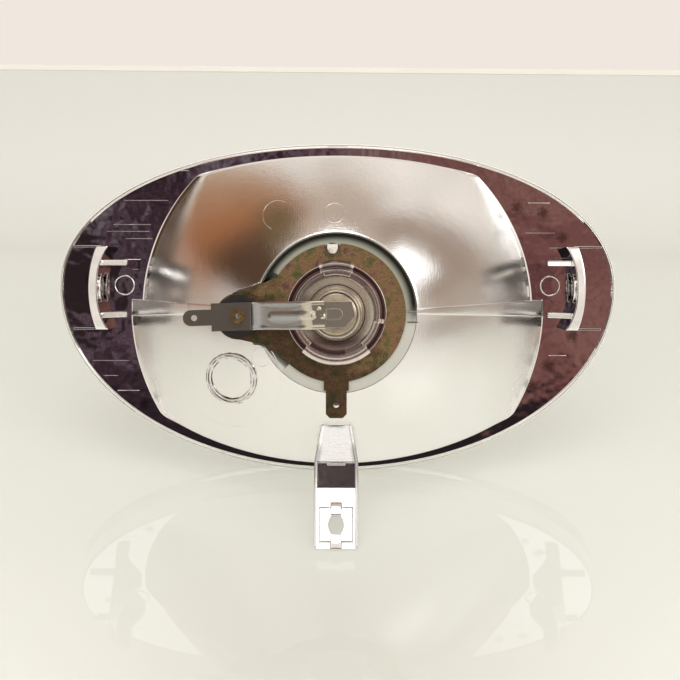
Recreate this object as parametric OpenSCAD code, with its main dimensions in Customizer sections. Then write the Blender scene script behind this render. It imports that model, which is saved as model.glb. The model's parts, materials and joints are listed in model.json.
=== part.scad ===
// Oval scooter headlight insert, standing on its lens and on the foot of its adjuster arm.
// Every piece is drawn as seen from behind: X to the right, Y up, Z out towards the rear.
// The bulb axis is Z, and Z = 0 is the rear face of the reflector's flange.
// stand() then leans the lamp forward and sets it on the table.

/* [Outline] */
// Overall width of the lens
lens_w = 178; // [165:1:195]
// Height of the lens's top above the bulb axis
lens_top = 52.9; // [50:0.1:58]
// Depth of the lens's bottom below the bulb axis
lens_low = 50.6; // [48.6:0.1:56]
// Height of the widest line above the bulb axis
waist_rise = 7.1; // [4:0.1:9]
// Fullness of the outline's upper half, where 2 is a true ellipse
upper_fullness = 2.1; // [2:0.01:2.4]
// Angle by which the lamp leans forward when it stands
lean = 22; // [19:0.5:25]

/* [Lens] */
// Straight depth of the lens rim
lens_skirt = 14; // [10:0.5:18]
// Rise of the dome in front of the rim
lens_dome = 16; // [10:1:24]
// Thickness of the lens
lens_t = 2.6; // [2:0.1:3.2]
// Radius of the lens's front edge
lens_edge_r = 3; // [2:0.5:4]
// Width of the lens lip that shows round the flange
lens_lip = 1.2; // [0.8:0.1:1.6]
// Thickness of the sealing bead between flange and lens
seal_t = 0.6; // [0.4:0.1:1]

/* [Reflector] */
// Thickness of the flange
flange_t = 2; // [1.6:0.1:3]
// Width of the raised lip on the flange's edge
flange_lip_w = 1.3; // [1:0.1:2]
// Height of the raised lip on the flange's edge
flange_lip_h = 1; // [0.5:0.1:1.5]
// Distance from the flange's edge to the bowl's side wall
wall_inset = 3.4; // [3:0.1:5]
// Thickness of the bowl's side wall
wall_t = 1.8; // [1.4:0.1:2.4]
// Radius of the upper half bowl at the flange
upper_rim = 62; // [58:0.5:66]
// Depth of the upper half bowl
upper_depth = 47.5; // [45:0.5:50]
// Radius of the lower half bowl at the flange
lower_rim = 65.6; // [60:0.1:68]
// Thickness of the bowl at its centre
bowl_t = 2; // [1.6:0.1:2.6]
// Distance of the bulb seat behind the flange
seat_z = 36.2; // [35:0.1:37]
// Radius of the bulb seat
seat_r = 24.2; // [23.4:0.1:25.5]
// Thickness of the floor under the bulb seat
seat_t = 3.2; // [2.6:0.1:4]
// Radius of the hole that the bulb goes through
bulb_hole_r = 12; // [11:0.1:13]
// Width of the ridge between the two half bowls at its outer end
ridge_w = 5.4; // [3:0.1:7]
// Width of that ridge at the bulb seat
ridge_slim_w = 2; // [1.4:0.1:3]
// Height of that ridge above the bowls
ridge_h = 0.6; // [0.4:0.1:1.2]

/* [Knock-out for a side lamp] */
// Distance of the knock-out from the bulb axis, to the left
knock_x = 32.3; // [29:0.1:35]
// Distance of the knock-out below the bulb axis
knock_y = 20.4; // [19:0.1:24]
// Outer radius of its ring
knock_r = 8.4; // [7:0.1:8.8]
// Width of its ring
knock_w = 1.4; // [0.8:0.1:2]
// Height of its ring
knock_h = 0.9; // [0.5:0.1:1.5]

/* [Pivot lugs] */
// Distance from the lens's side to the lug's outer face
lug_inset = 12; // [11:0.1:14]
// Thickness of a lug
lug_t = 3; // [2.4:0.1:4]
// Length of a lug up and down
lug_len = 26.1; // [22:0.1:30]
// Height of a lug behind the flange
lug_h = 15; // [13:0.5:18]
// Radius of the pivot hole
pivot_r = 2.5; // [2:0.1:3]
// Radius of the boss round the pivot hole
pivot_boss_r = 4.7; // [4.2:0.1:5.5]
// Height of that boss
pivot_boss_h = 0.8; // [0.5:0.1:1.2]
// Distance of the pivot hole behind the flange
pivot_z = 7.8; // [7:0.1:9]
// Length of a gusset from the lug inwards
gusset_len = 6.9; // [6:0.1:9]
// Thickness of a gusset
gusset_t = 1.8; // [1.2:0.1:2.4]

/* [Adjuster arm] */
// Distance from the bulb axis down to the top of the arm
arm_top = 34.5; // [32.5:0.5:36]
// Width of the arm at its top
arm_top_w = 9.1; // [8:0.1:11]
// Width of the arm at its foot
arm_w = 13.2; // [12:0.1:15]
// Distance from the bulb axis down to the end of the arm's closed part
arm_cap = 45.6; // [44:0.1:47]
// Distance of that end behind the flange
arm_cap_z = 33.5; // [32.4:0.1:35]
// Distance of the arm's web behind the flange
web_z = 30.5; // [29.5:0.1:31]
// Thickness of the web
web_t = 1.2; // [1:0.1:2]
// Length of the web's tilted end, from its bend down to the foot
web_run = 21; // [20.3:0.1:22]
// Tilt of the web below its bend
web_tilt = 30.6; // [27:0.2:33]
// Thickness of the arm's side walls
cheek_t = 0.8; // [0.6:0.1:1.4]
// Height of the side walls over the web at the foot
cheek_h = 1.6; // [1.2:0.1:2.4]

/* [Adjuster clip] */
// Width of the clip
clip_w = 9.5; // [8.5:0.1:10]
// Length of the clip
clip_len = 10.4; // [9.8:0.1:10.6]
// Thickness of the clip
clip_t = 0.6; // [0.4:0.1:0.8]
// Distance of the clip's middle above the foot
clip_up = 7.6; // [7.5:0.1:9]
// Width of the clip's hole
clip_hole_w = 5; // [4.2:0.1:5.2]
// Length of the clip's hole
clip_hole_len = 6.2; // [5.6:0.1:7]
// Width of the two hooks that hold the clip
hook_w = 3.2; // [3:0.1:4]
// Thickness of those hooks
hook_t = 0.7; // [0.6:0.05:0.9]

/* [Bulb holder] */
// Thickness of the holder plate
plate_t = 0.8; // [0.6:0.05:1]
// Radius of the holder plate
plate_r = 20.9; // [20:0.1:21.5]
// Radius of the plate's central hole
plate_hole_r = 11; // [10.6:0.1:11.6]
// Distance from the bulb seat's edge to the contact's rivet
rivet_out = 5.3; // [5:0.1:5.9]
// Radius of the ear's rounded end
ear_r = 7; // [6.6:0.1:7.4]
// Turn of the ear below the horizontal
ear_turn = 2; // [0:0.5:3]
// Width of the earth tab
earth_w = 6.3; // [5.8:0.1:6.6]
// Distance from the bulb axis down to the end of the earth tab
earth_end = 31.7; // [30:0.1:32.2]
// Outer radius of the socket ring
ring_r = 15.1; // [14.6:0.1:16.4]
// Thickness of the socket ring's sheet
ring_t = 0.5; // [0.4:0.05:0.7]
// Height of the ring's inner lip and bridges above the holder plate
bridge_h = 2.2; // [2:0.1:3]
// Reach of the ring's claws over the bulb's collar
claw_reach = 1; // [0.6:0.1:1.4]

/* [Contact] */
// Radius of the insulating disc under the contact
disc_r = 6.4; // [5.8:0.1:6.5]
// Thickness of that disc
disc_t = 2.7; // [2.2:0.1:3.2]
// Width of the contact
contact_w = 8.4; // [7.6:0.1:9]
// Thickness of the contact's sheet
contact_t = 0.5; // [0.4:0.05:0.7]
// Length of the contact's base from the rivet outwards
base_out = 8; // [7:0.1:8.4]
// Length of the contact's base from the rivet inwards
base_in = 4; // [3.6:0.1:4.4]
// Width of the contact's push-on tab
tab_w = 4.8; // [4.4:0.1:5]
// Distance from the bulb axis to the end of that tab
tab_end = 46; // [44.5:0.1:47]
// Radius of the rivet's shank
rivet_r = 1.5; // [1.3:0.05:1.7]

/* [Bulb] */
// Radius of the bulb's collar
collar_r = 12.5; // [12:0.1:12.9]
// Thickness of the collar
collar_t = 1; // [0.8:0.1:1.2]
// Turn that frees the collar from the claws
bayonet_turn = 25; // [22:1:28]
// Radius of the bulb's cap
cap_r = 7.3; // [7:0.1:7.6]
// Height of the cap above the collar
cap_h = 12.6; // [11.5:0.1:14]
// Radius of the bulb's glass
glass_r = 9.2; // [8.5:0.1:9.6]
// Length of the glass in front of the collar
glass_len = 31; // [28:0.5:36]
// Distance of the filament in front of the collar
filament_out = 14; // [12:0.5:17]

/* [Hidden] */
$fn = 96;

// Gaps between pieces: a close fit, a moulded fit and a loose fit
close_gap = 0.05;
fit_gap = 0.15;
loose_gap = 0.4;
// Overlap that joins two forms of one piece, and the extra depth of a cut
weld = 0.5;
cut = 1;
// Steps round the outlines, so chosen that top and bottom are flat, and along the curves
outline_n = 98;
lens_n = 74;
bowl_steps = 14;
dome_steps = 6;
edge_steps = 4;
strip_steps = 16;

lens_a = lens_w / 2;
upper_half = lens_top - waist_rise;
lower_half = lens_low + waist_rise;
bowl_inset = lens_lip + wall_inset;

function rounded_power(v, n) = sign(v) * pow(abs(v), 2 / n);

// The headlight's outline, drawn in by an inset and shrunk by a share about its middle
function outline(inset, share = 1, count = outline_n) = [for (i = [0:count - 1])
    let (turn = 360 * i / count, above = sin(turn) >= 0,
         n = above ? upper_fullness : 2,
         half = (above ? upper_half : lower_half) - inset)
    [share * (lens_a - inset) * rounded_power(cos(turn), n),
     waist_rise + share * half * rounded_power(sin(turn), n)]];

// The outline's half width at a rise above its widest line
function outline_x(inset, rise) = (lens_a - inset)
    * pow(1 - pow(rise / (upper_half - inset), upper_fullness), 1 / upper_fullness);

// The lower half bowl runs into the rim of the bulb seat
lower_depth = seat_z / (1 - pow(seat_r / lower_rim, 2));
function bowl_z(r, rim, depth) = depth * (1 - pow(r / rim, 2));
function upper_z(r) = bowl_z(r, upper_rim, upper_depth);
function lower_z(r) = bowl_z(r, lower_rim, lower_depth);
function between(a, b, i, n) = a + (b - a) * i / n;
function reversed(list) = [for (i = [len(list) - 1:-1:0]) list[i]];

// Distance from the bulb axis at the flange down to the table, set by the lens's front edge
lens_rest = (lower_half - lens_edge_r) * cos(180 / lens_n) - waist_rise;
table_drop = lens_rest * cos(lean) + (lens_skirt - lens_edge_r) * sin(lean) + lens_edge_r;

// The web's front face, from its bend down to the table, and the side walls' lower end
bend_z = web_z - web_t;
web_bend = (bend_z * sin(lean) + table_drop - web_run * cos(web_tilt + lean)) / cos(lean);
foot_z = bend_z + web_run * sin(web_tilt);
foot_y = -web_bend - web_run * cos(web_tilt);
heel_z = foot_z + (web_t + cheek_h) * cos(web_tilt);
heel_y = foot_y + (web_t + cheek_h) * sin(web_tilt);
arm_front_z = 12;

// More than the height of any form behind the flange
reach_z = max(heel_z, upper_depth, lower_depth) + 2 * cut;

// Reach of the dome in front of the bulb axis and of the arm behind it, for the origin
dome_half = upper_half - lens_edge_r;
front_reach = max([for (i = [0:dome_steps]) let (share = i / dome_steps)
    (waist_rise + dome_half * share) * sin(lean)
        + (lens_skirt + lens_dome * (1 - share * share)) * cos(lean)]);
rear_reach = heel_z * cos(lean) - heel_y * sin(lean);

// The reflector's key and the pieces under the rivet
key_w = 3.9;
key_len = 3.4;
key_x = -1.2;
washer_t = 0.8;
rivet_head_t = 0.4;
recess_d = washer_t + rivet_head_t + fit_gap;

// Levels of the pieces stacked on the bulb seat
plate_z = seat_z + plate_t;
collar_z = plate_z + close_gap;
cap_z = collar_z + collar_t;
cap_top = cap_z + cap_h;
claw_z = cap_z + close_gap;
disc_z = plate_z + disc_t;
base_z = disc_z + contact_t;
pad_h = 0.3;
tip_rise = 0.7;
tip_base = cap_top - 0.8;
tongue_z = cap_top + tip_rise + close_gap;
filament_z = collar_z - filament_out;
stem_out = 9.5;
stem_tip_z = collar_z - stem_out;

// Distance from the bulb axis to the contact's rivet
ear_reach = seat_r + rivet_out;

lug_face = lens_a - lug_inset;
lug_inner = lug_face - lug_t;
collar_wall_r = collar_r + fit_gap;
ring_lip_r = collar_wall_r + ring_t;
rivet_hole_r = rivet_r + close_gap;
boss_r = rivet_r + 1.1;
wire_x = 2.2;
wire_r = 0.35;

// Starts of the ring's claws over the collar, and the width of each, in degrees
claw_from = [70, -50, 192];
claw_width = 38;

// Places the lamp, drawn along its axis, as it stands on the table
module stand() {
    translate([0, (rear_reach - front_reach) / 2, table_drop])
        rotate([90 - lean, 0, 0]) children();
}

// Stands a side view, drawn as [z, y], across the lamp with its thickness along X
module side_sheet(t) {
    rotate([0, -90, 0]) linear_extrude(t, center = true) children();
}

module tube(outer, inner, h) {
    difference() {
        cylinder(r = outer, h = h);
        translate([0, 0, -cut]) cylinder(r = inner, h = h + 2 * cut);
    }
}

module sector(from_a, width, inner, outer, h) {
    rotate(from_a) rotate_extrude(angle = width) translate([inner, 0]) square([outer - inner, h]);
}

module bowl_outer(rim, depth) {
    rotate_extrude(angle = 180) polygon(concat(
        [[0, -flange_t / 2], [rim, -flange_t / 2]],
        [for (i = [0:bowl_steps]) let (r = between(rim, seat_r, i, bowl_steps))
            [r, bowl_z(r, rim, depth)]],
        [[seat_r, seat_z], [0, seat_z]]));
}

module bowl_inner(rim, depth) {
    floor_z = seat_z - seat_t;
    inner_rim = rim - wall_t;
    inner_depth = depth - bowl_t;
    floor_r = inner_rim * sqrt(1 - floor_z / inner_depth);
    rotate_extrude(angle = 180) polygon(concat(
        [[0, -flange_t - cut], [inner_rim, -flange_t - cut]],
        [for (i = [0:bowl_steps]) let (r = between(inner_rim, floor_r, i, bowl_steps))
            [r, bowl_z(r, inner_rim, inner_depth)]],
        [[0, floor_z]]));
}

// The ridge along the joint of the two half bowls, from one radius to another
module ridge(from_r, to_r) {
    rise_y = 0.7;
    radii = [for (i = [0:bowl_steps]) between(from_r, to_r, i, bowl_steps)];
    intersection() {
        linear_extrude(reach_z) translate([0, rise_y]) polygon([
            [from_r, -ridge_slim_w / 2], [to_r, -ridge_w / 2],
            [to_r, ridge_w / 2], [from_r, ridge_slim_w / 2]]);
        rotate([90, 0, 0]) linear_extrude(2 * ridge_w, center = true) polygon(concat(
            [for (r = radii) [r, max(upper_z(r), lower_z(r)) + ridge_h]],
            reversed([for (r = radii) [r, max(0, min(upper_z(r), lower_z(r))) - cut]])));
    }
}

// The holder plate's ear, which narrows from the plate to a rounded end: points on its upper
// and lower edge, as [distance from the rivet inwards, distance beyond the rounded end's radius]
module ear(grow, h) {
    neck_in = 3.9;
    neck_x = ear_reach - plate_r + neck_in;
    upper = [[-1.9, -0.3], [5.2, 1.8], [neck_x, 4.5]];
    lower = [[neck_x + 2.4, 7.4], [11.2, 4.6], [7.4, 1.9], [0, 0]];
    rotate(ear_turn) {
        linear_extrude(h) polygon(concat([[-plate_r / 2, 0]],
            [for (p = reversed(upper)) [p[0] - ear_reach, ear_r + p[1] + grow]],
            [for (p = reversed(lower)) [p[0] - ear_reach, -ear_r - p[1] - grow]]));
        translate([-ear_reach, 0, 0]) cylinder(r = ear_r + grow, h = h);
    }
}

// A pivot lug, which stands on the flange's rear face
lug_outer_bow = 60;
module lug() {
    inner_bow = 39.5;
    gusset_toe = 2.4;
    gusset_drop = 3.5;
    gusset_low = 4.45;
    gusset_high = 5.15;
    translate([0, waist_rise, 0]) difference() {
        union() {
            linear_extrude(lug_h) intersection() {
                translate([lug_inner - lug_outer_bow / 4, -lug_len / 2])
                    square([lug_outer_bow, lug_len]);
                difference() {
                    translate([lug_face - lug_outer_bow, 0]) circle(r = lug_outer_bow);
                    translate([lug_inner - inner_bow, 0]) circle(r = inner_bow);
                }
            }
            translate([lug_inner - pivot_boss_h, 0, pivot_z]) rotate([0, 90, 0])
                cylinder(r = pivot_boss_r, h = pivot_boss_h + lug_t / 2);
            for (y = [gusset_low - lug_len / 2, lug_len / 2 - gusset_high])
                translate([0, y, 0]) rotate([90, 0, 0]) linear_extrude(gusset_t, center = true)
                    polygon([[lug_inner + 1, 0], [lug_inner + 1, lug_h - gusset_drop],
                        [lug_inner - gusset_len, gusset_toe], [lug_inner - gusset_len, 0]]);
        }
        translate([lug_inner - gusset_len, 0, pivot_z]) rotate([0, 90, 0])
            cylinder(r = pivot_r, h = 2 * gusset_len + lug_t);
    }
}

module pivot_lugs() {
    color("gainsboro") stand() for (side = [0, 1]) mirror([side, 0, 0]) lug();
}

// Marks on the flange beside a lug
module lug_marks() {
    end_rib_w = 0.6;
    end_rib_h = 1.5;
    end_rib_y = (lug_len - end_rib_w) / 2;
    from_x = lug_face - lug_outer_bow + sqrt(pow(lug_outer_bow, 2) - pow(end_rib_y, 2)) + fit_gap;
    to_x = outline_x(lens_lip + flange_lip_w / 2, end_rib_y);
    witness_x = 5.8;
    witness_r = 3.3;
    witness_w = 0.5;
    translate([0, waist_rise, -weld]) {
        // low ribs from the lug's two ends out to the flange's lip
        for (y = [-1, 1])
            translate([from_x, y * end_rib_y - end_rib_w / 2, 0])
                cube([to_x - from_x, end_rib_w, end_rib_h + weld]);
        // round witness mark between the gussets
        translate([lug_inner - witness_x, 0, 0])
            tube(witness_r, witness_r - witness_w, weld + loose_gap);
    }
}

// Side view of the arm's rear edge, from its top on the bowl down to the foot and the bend
arm_rear = [[lower_z(arm_top) - wall_t, -arm_top + cut], [lower_z(arm_top) + loose_gap, -arm_top],
    [arm_cap_z, -arm_cap]];

// The side walls in that view
module cheek_side() {
    wall_y = -lens_low + bowl_inset;
    polygon(concat(arm_rear, [[heel_z, heel_y], [foot_z, foot_y], [bend_z, -web_bend],
        [arm_front_z, wall_y], [arm_front_z, wall_y + wall_t]]));
}

// The closed part and the web in that view, as one bent sheet
module web_side() {
    bend_shift = web_t * tan(web_tilt / 2);
    polygon(concat(arm_rear, [[web_z, -arm_cap], [web_z, -web_bend - bend_shift],
        [foot_z + web_t * cos(web_tilt), foot_y + web_t * sin(web_tilt)], [foot_z, foot_y],
        [bend_z, -web_bend], [bend_z, -arm_cap + web_t], [bend_z - wall_t, -arm_top + cut]]));
}

// The arm as seen from behind, drawn in by an inset
module arm_plan(inset) {
    past_foot = foot_y - cut;
    top = arm_top_w / 2 - inset;
    side = arm_w / 2 - inset;
    polygon([[-top, -arm_top + 2 * cut], [top, -arm_top + 2 * cut], [side, -arm_cap],
        [side, past_foot], [-side, past_foot], [-side, -arm_cap]]);
}

// Draws on the rear face of the tilted web: X across, Y up the web, middle at the clip
module on_clip() {
    translate([0, -web_bend, bend_z]) rotate([-web_tilt, 0, 0])
        translate([0, clip_up - web_run, web_t]) children();
}

module arm() {
    step_w = 5.4;
    step_h = 1.1;
    root_len = 2;
    tongue_len = 2;
    hook_base = clip_len / 2 + fit_gap;
    window_w = clip_hole_w + 2 * loose_gap;
    window_len = clip_hole_len + 2 * loose_gap;
    difference() {
        union() {
            intersection() {
                linear_extrude(reach_z) arm_plan(0);
                side_sheet(reach_z) web_side();
            }
            intersection() {
                linear_extrude(reach_z) difference() {
                    arm_plan(0);
                    arm_plan(cheek_t);
                }
                side_sheet(reach_z) cheek_side();
            }
            // small step under the end of the closed part
            translate([-step_w / 2, -arm_cap - step_h, web_z - weld])
                cube([step_w, step_h + weld, step_h + weld]);
            // two hooks that hold the clip by its upper and lower edge
            for (side = [0, 180])
                on_clip() rotate(side) {
                    translate([-hook_w / 2, hook_base, -weld])
                        cube([hook_w, root_len, weld + clip_t + close_gap + hook_t]);
                    translate([-hook_w / 2, hook_base - tongue_len, clip_t + close_gap])
                        cube([hook_w, tongue_len + weld, hook_t]);
                }
        }
        // window behind the clip's hole
        on_clip() translate([-window_w / 2, -window_len / 2, -web_t - cut])
            cube([window_w, window_len, web_t + cut]);
    }
}

module knock_out() {
    reach = norm([knock_x, knock_y]) + knock_r + cut;
    intersection() {
        translate([-knock_x, -knock_y, 0]) tube(knock_r, knock_r - knock_w, reach_z);
        rotate_extrude() polygon(concat([[0, 0], [reach, 0]],
            [for (i = [0:bowl_steps]) let (r = between(reach, 0, i, bowl_steps))
                [r, lower_z(r) + knock_h]]));
    }
}

module flange() {
    translate([0, 0, -flange_t]) linear_extrude(flange_t) polygon(outline(lens_lip));
    difference() {
        translate([0, 0, -weld]) linear_extrude(flange_lip_h + weld) polygon(outline(lens_lip));
        translate([0, 0, -cut]) linear_extrude(flange_lip_h + 2 * cut)
            polygon(outline(lens_lip + flange_lip_w));
    }
}

module reflector() {
    ridge_end = lower_rim + 0.3;
    color("gainsboro") stand() difference() {
        union() {
            flange();
            intersection() {
                union() {
                    bowl_outer(upper_rim, upper_depth);
                    rotate(180) bowl_outer(lower_rim, lower_depth);
                    ridge(seat_r + loose_gap, ridge_end);
                    mirror([1, 0, 0]) ridge(ear_reach + ear_r + cut, ridge_end);
                }
                translate([0, 0, -flange_t]) linear_extrude(reach_z)
                    polygon(outline(bowl_inset));
            }
            knock_out();
            for (side = [0, 1]) mirror([side, 0, 0]) lug_marks();
            arm();
        }
        // the hollow in front of the bowl
        intersection() {
            union() {
                bowl_inner(upper_rim, upper_depth);
                rotate(180) bowl_inner(lower_rim, lower_depth);
            }
            translate([0, 0, -flange_t - 2 * cut]) linear_extrude(reach_z)
                polygon(outline(bowl_inset + wall_t));
        }
        translate([0, 0, seat_z - seat_t - cut]) cylinder(r = seat_r, h = reach_z);
        // room in the bowl for the holder plate's ear and the rivet's front head
        translate([0, 0, seat_z - recess_d]) ear(loose_gap, reach_z);
    }
}

// The reflector's floor that the bulb holder sits on
module bulb_seat() {
    key_h = 2.3;
    stop_h = 1.1;
    stop_w = 0.6;
    stop_y = [-2.65, 0.4];
    color("gainsboro") stand() translate([0, 0, seat_z]) difference() {
        intersection() {
            translate([0, 0, -seat_t]) cylinder(r = seat_r, h = seat_t + key_h + cut);
            union() {
                translate([0, 0, -seat_t]) cylinder(r = seat_r + cut, h = seat_t);
                // key that locates the holder plate, and two small stops beside it
                translate([key_x - key_w / 2, plate_r - key_len, -weld])
                    cube([key_w, key_len, key_h + weld]);
                for (y = stop_y)
                    translate([plate_r + loose_gap, y - stop_w / 2, -weld])
                        cube([seat_r, stop_w, stop_h + weld]);
            }
        }
        translate([0, 0, -seat_t - cut]) cylinder(r = bulb_hole_r, h = seat_t + 2 * cut);
    }
}

// A ring of the lens: [inset from the outline, share about the middle, height]
function lens_ring(ring) = [for (p = outline(ring[0], ring[1], lens_n)) [p[0], p[1], ring[2]]];

module lens() {
    inner_wall = lens_lip + seal_t + 1.2;
    inner_edge = lens_edge_r / 2;
    shoulder_z = -flange_t - seal_t;
    inner_skirt = lens_skirt - lens_t;
    lip_edge = lens_lip - fit_gap;
    rings = concat(
        [for (i = [1:dome_steps]) let (share = i / dome_steps)
            [lens_edge_r, share, -lens_skirt - lens_dome * (1 - share * share)]],
        [for (i = [1:edge_steps]) let (a = 90 * i / edge_steps)
            [lens_edge_r * (1 - sin(a)), 1, -lens_skirt + lens_edge_r * (1 - cos(a))]],
        [[0, 1, -fit_gap], [lip_edge, 1, -fit_gap], [lip_edge, 1, shoulder_z],
         [inner_wall, 1, shoulder_z], [inner_wall, 1, -inner_skirt + inner_edge]],
        [for (i = [dome_steps:-1:1]) let (share = i / dome_steps)
            [inner_wall + inner_edge, share, -inner_skirt - lens_dome * (1 - share * share)]]);
    count = len(rings);
    points = concat([[0, waist_rise, -lens_skirt - lens_dome]],
        [for (ring = rings) each lens_ring(ring)],
        [[0, waist_rise, -inner_skirt - lens_dome]]);
    last = len(points) - 1;
    function at(j, i) = 1 + j * lens_n + i % lens_n;
    faces = concat(
        [for (i = [0:lens_n - 1]) [0, at(0, i), at(0, i + 1)]],
        [for (j = [0:count - 2], i = [0:lens_n - 1]) each [
            [at(j, i), at(j + 1, i), at(j + 1, i + 1)],
            [at(j, i), at(j + 1, i + 1), at(j, i + 1)]]],
        [for (i = [0:lens_n - 1]) [at(count - 1, i), last, at(count - 1, i + 1)]]);
    color("aliceblue", 0.4) stand() polyhedron(points, faces);
}

module lens_seal() {
    bead_w = 1;
    bead_inset = lens_lip + seal_t / 2;
    color("dimgray") stand() difference() {
        translate([0, 0, -flange_t - seal_t]) linear_extrude(seal_t) polygon(outline(bead_inset));
        translate([0, 0, -flange_t - seal_t - cut]) linear_extrude(seal_t + 2 * cut)
            polygon(outline(bead_inset + bead_w));
    }
}

module adjuster_clip() {
    hole_bow = 5;
    bow_x = hole_bow - clip_hole_w / 2;
    color("whitesmoke") stand() on_clip() difference() {
        translate([-clip_w / 2, -clip_len / 2, 0]) cube([clip_w, clip_len, clip_t]);
        translate([0, 0, -cut]) linear_extrude(clip_t + 2 * cut) intersection() {
            translate([bow_x, 0]) circle(r = hole_bow);
            translate([-bow_x, 0]) circle(r = hole_bow);
            square([clip_hole_w, clip_hole_len], center = true);
        }
    }
}

module holder_plate() {
    neck_w = earth_w + 1.2;
    neck_len = 2.5;
    tip_cut = 1.2;
    earth_hole_up = 4;
    earth_hole_r = 0.9;
    color("darkgoldenrod") stand() translate([0, 0, seat_z]) difference() {
        union() {
            cylinder(r = plate_r, h = plate_t);
            ear(0, plate_t);
            translate([-neck_w / 2, -plate_r - neck_len, 0])
                cube([neck_w, 2 * neck_len + cut, plate_t]);
            linear_extrude(plate_t) polygon([[-earth_w / 2, -plate_r], [earth_w / 2, -plate_r],
                [earth_w / 2, tip_cut - earth_end], [earth_w / 2 - tip_cut, -earth_end],
                [tip_cut - earth_w / 2, -earth_end], [-earth_w / 2, tip_cut - earth_end]]);
        }
        translate([0, 0, -cut]) cylinder(r = plate_hole_r, h = plate_t + 2 * cut);
        translate([0, earth_hole_up - earth_end, -cut])
            cylinder(r = earth_hole_r, h = plate_t + 2 * cut);
        // notch over the reflector's key
        translate([key_x - key_w / 2 - loose_gap, plate_r - key_len - loose_gap, -cut])
            cube([key_w + 2 * loose_gap, plate_r, plate_t + 2 * cut]);
        rotate(ear_turn) translate([-ear_reach, 0, -cut])
            cylinder(r = boss_r + close_gap, h = plate_t + 2 * cut);
    }
}

module socket_ring() {
    broad_r = ring_r + 0.9;
    narrow_r = ring_r - ring_t / 2;
    lip_mid_r = ring_lip_r - ring_t / 2;
    lip_h = bridge_h - ring_t / 2;
    under_h = bridge_h - ring_t;
    foot_t = ring_t - 0.1;
    // bridges from the inner lip to the rim: start, width and outer radius
    bridges = [[69, 42, broad_r], [-132, 84, broad_r], [-13, 6, narrow_r], [187, 6, narrow_r]];
    color("silver") stand() translate([0, 0, plate_z]) {
        rotate_extrude() polygon([[collar_wall_r, 0], [ring_r, 0], [ring_r, ring_t],
            [ring_lip_r, ring_t], [ring_lip_r, lip_h], [collar_wall_r, lip_h]]);
        for (b = bridges)
            rotate(b[0]) rotate_extrude(angle = b[1]) polygon([[lip_mid_r, under_h],
                [b[2] - ring_t, under_h], [b[2] - ring_t, foot_t], [ring_r - ring_t, foot_t],
                [ring_r - ring_t, 0], [b[2], 0], [b[2], bridge_h], [lip_mid_r, bridge_h]]);
        for (from_a = claw_from)
            translate([0, 0, claw_z - plate_z])
                sector(from_a, claw_width, collar_r - claw_reach, lip_mid_r, ring_t);
    }
}

// Places a child on the rivet's axis, with X along the contact
module at_rivet() {
    rotate(ear_turn) translate([-ear_reach, 0, 0]) children();
}

module contact_insulator() {
    color("black") stand() at_rivet() difference() {
        union() {
            translate([0, 0, plate_z]) cylinder(r = disc_r, h = disc_t);
            translate([0, 0, seat_z]) cylinder(r = boss_r, h = plate_t + weld);
        }
        translate([0, 0, seat_z - cut]) cylinder(r = rivet_hole_r, h = plate_t + disc_t + 2 * cut);
    }
}

module insulating_washer() {
    washer_r = 4.6;
    color("black") stand() at_rivet() translate([0, 0, seat_z - washer_t])
        tube(washer_r, rivet_hole_r, washer_t);
}

module contact_terminal() {
    pad = [5, 5.6];
    tab_hole_r = 0.9;
    tab_round_x = ear_reach - tab_end + tab_w / 2;
    color("gray") stand() at_rivet() translate([0, 0, disc_z]) difference() {
        union() {
            translate([-base_out, -contact_w / 2, 0])
                cube([base_out + base_in, contact_w, contact_t]);
            translate([tab_round_x, -tab_w / 2, 0])
                cube([-base_out - tab_round_x + cut, tab_w, contact_t]);
            translate([tab_round_x, 0, 0]) cylinder(r = tab_w / 2, h = contact_t);
            translate([-pad[0] / 2, -pad[1] / 2, 0]) cube([pad[0], pad[1], contact_t + pad_h]);
        }
        translate([0, 0, -cut]) cylinder(r = rivet_hole_r, h = contact_t + pad_h + 2 * cut);
        translate([tab_round_x + 1, 0, -cut]) cylinder(r = tab_hole_r, h = contact_t + 2 * cut);
    }
}

module contact_rivet() {
    front_head_r = 2.6;
    rear_head_r = 2.1;
    eyelet_wall = 0.5;
    front_z = seat_z - washer_t - rivet_head_t;
    rear_z = base_z + pad_h;
    color("goldenrod") stand() at_rivet() difference() {
        union() {
            translate([0, 0, front_z]) cylinder(r = rivet_r, h = rear_z + rivet_head_t - front_z);
            translate([0, 0, front_z]) cylinder(r = front_head_r, h = rivet_head_t);
            translate([0, 0, rear_z]) cylinder(r = rear_head_r, h = rivet_head_t);
        }
        translate([0, 0, front_z - cut])
            cylinder(r = rivet_r - eyelet_wall, h = rear_z - front_z + rivet_head_t + 2 * cut);
    }
}

// Middle line of the sprung strip, drawn as [x, z] from the rivet: an S-curve, then level
strip_end_x = -3.4;
hinge_x = base_in + close_gap + contact_t / 2;
hinge_z = disc_z + contact_t / 2;
strip_len = ear_reach + strip_end_x - hinge_x;
strip_rise = tongue_z + 1.5 * contact_t - hinge_z;
level_share = 0.86;
function strip_point(s) = [hinge_x + strip_len * s,
    hinge_z + strip_rise * (1 - cos(180 * min(1, s / level_share))) / 2];
function strip_slope(s) =
    let (step = strip_point(min(1, s + 0.01)) - strip_point(max(0, s - 0.01))) step / norm(step);
function strip_line(from_s, to_s, off) = [for (i = [0:strip_steps])
    let (s = between(from_s, to_s, i, strip_steps), d = strip_slope(s))
    strip_point(s) + off * [-d[1], d[0]]];

module strip_band(w, from_s, to_s, low, high) {
    rotate([90, 0, 0]) linear_extrude(w, center = true)
        polygon(concat(strip_line(from_s, to_s, low), reversed(strip_line(from_s, to_s, high))));
}

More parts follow.
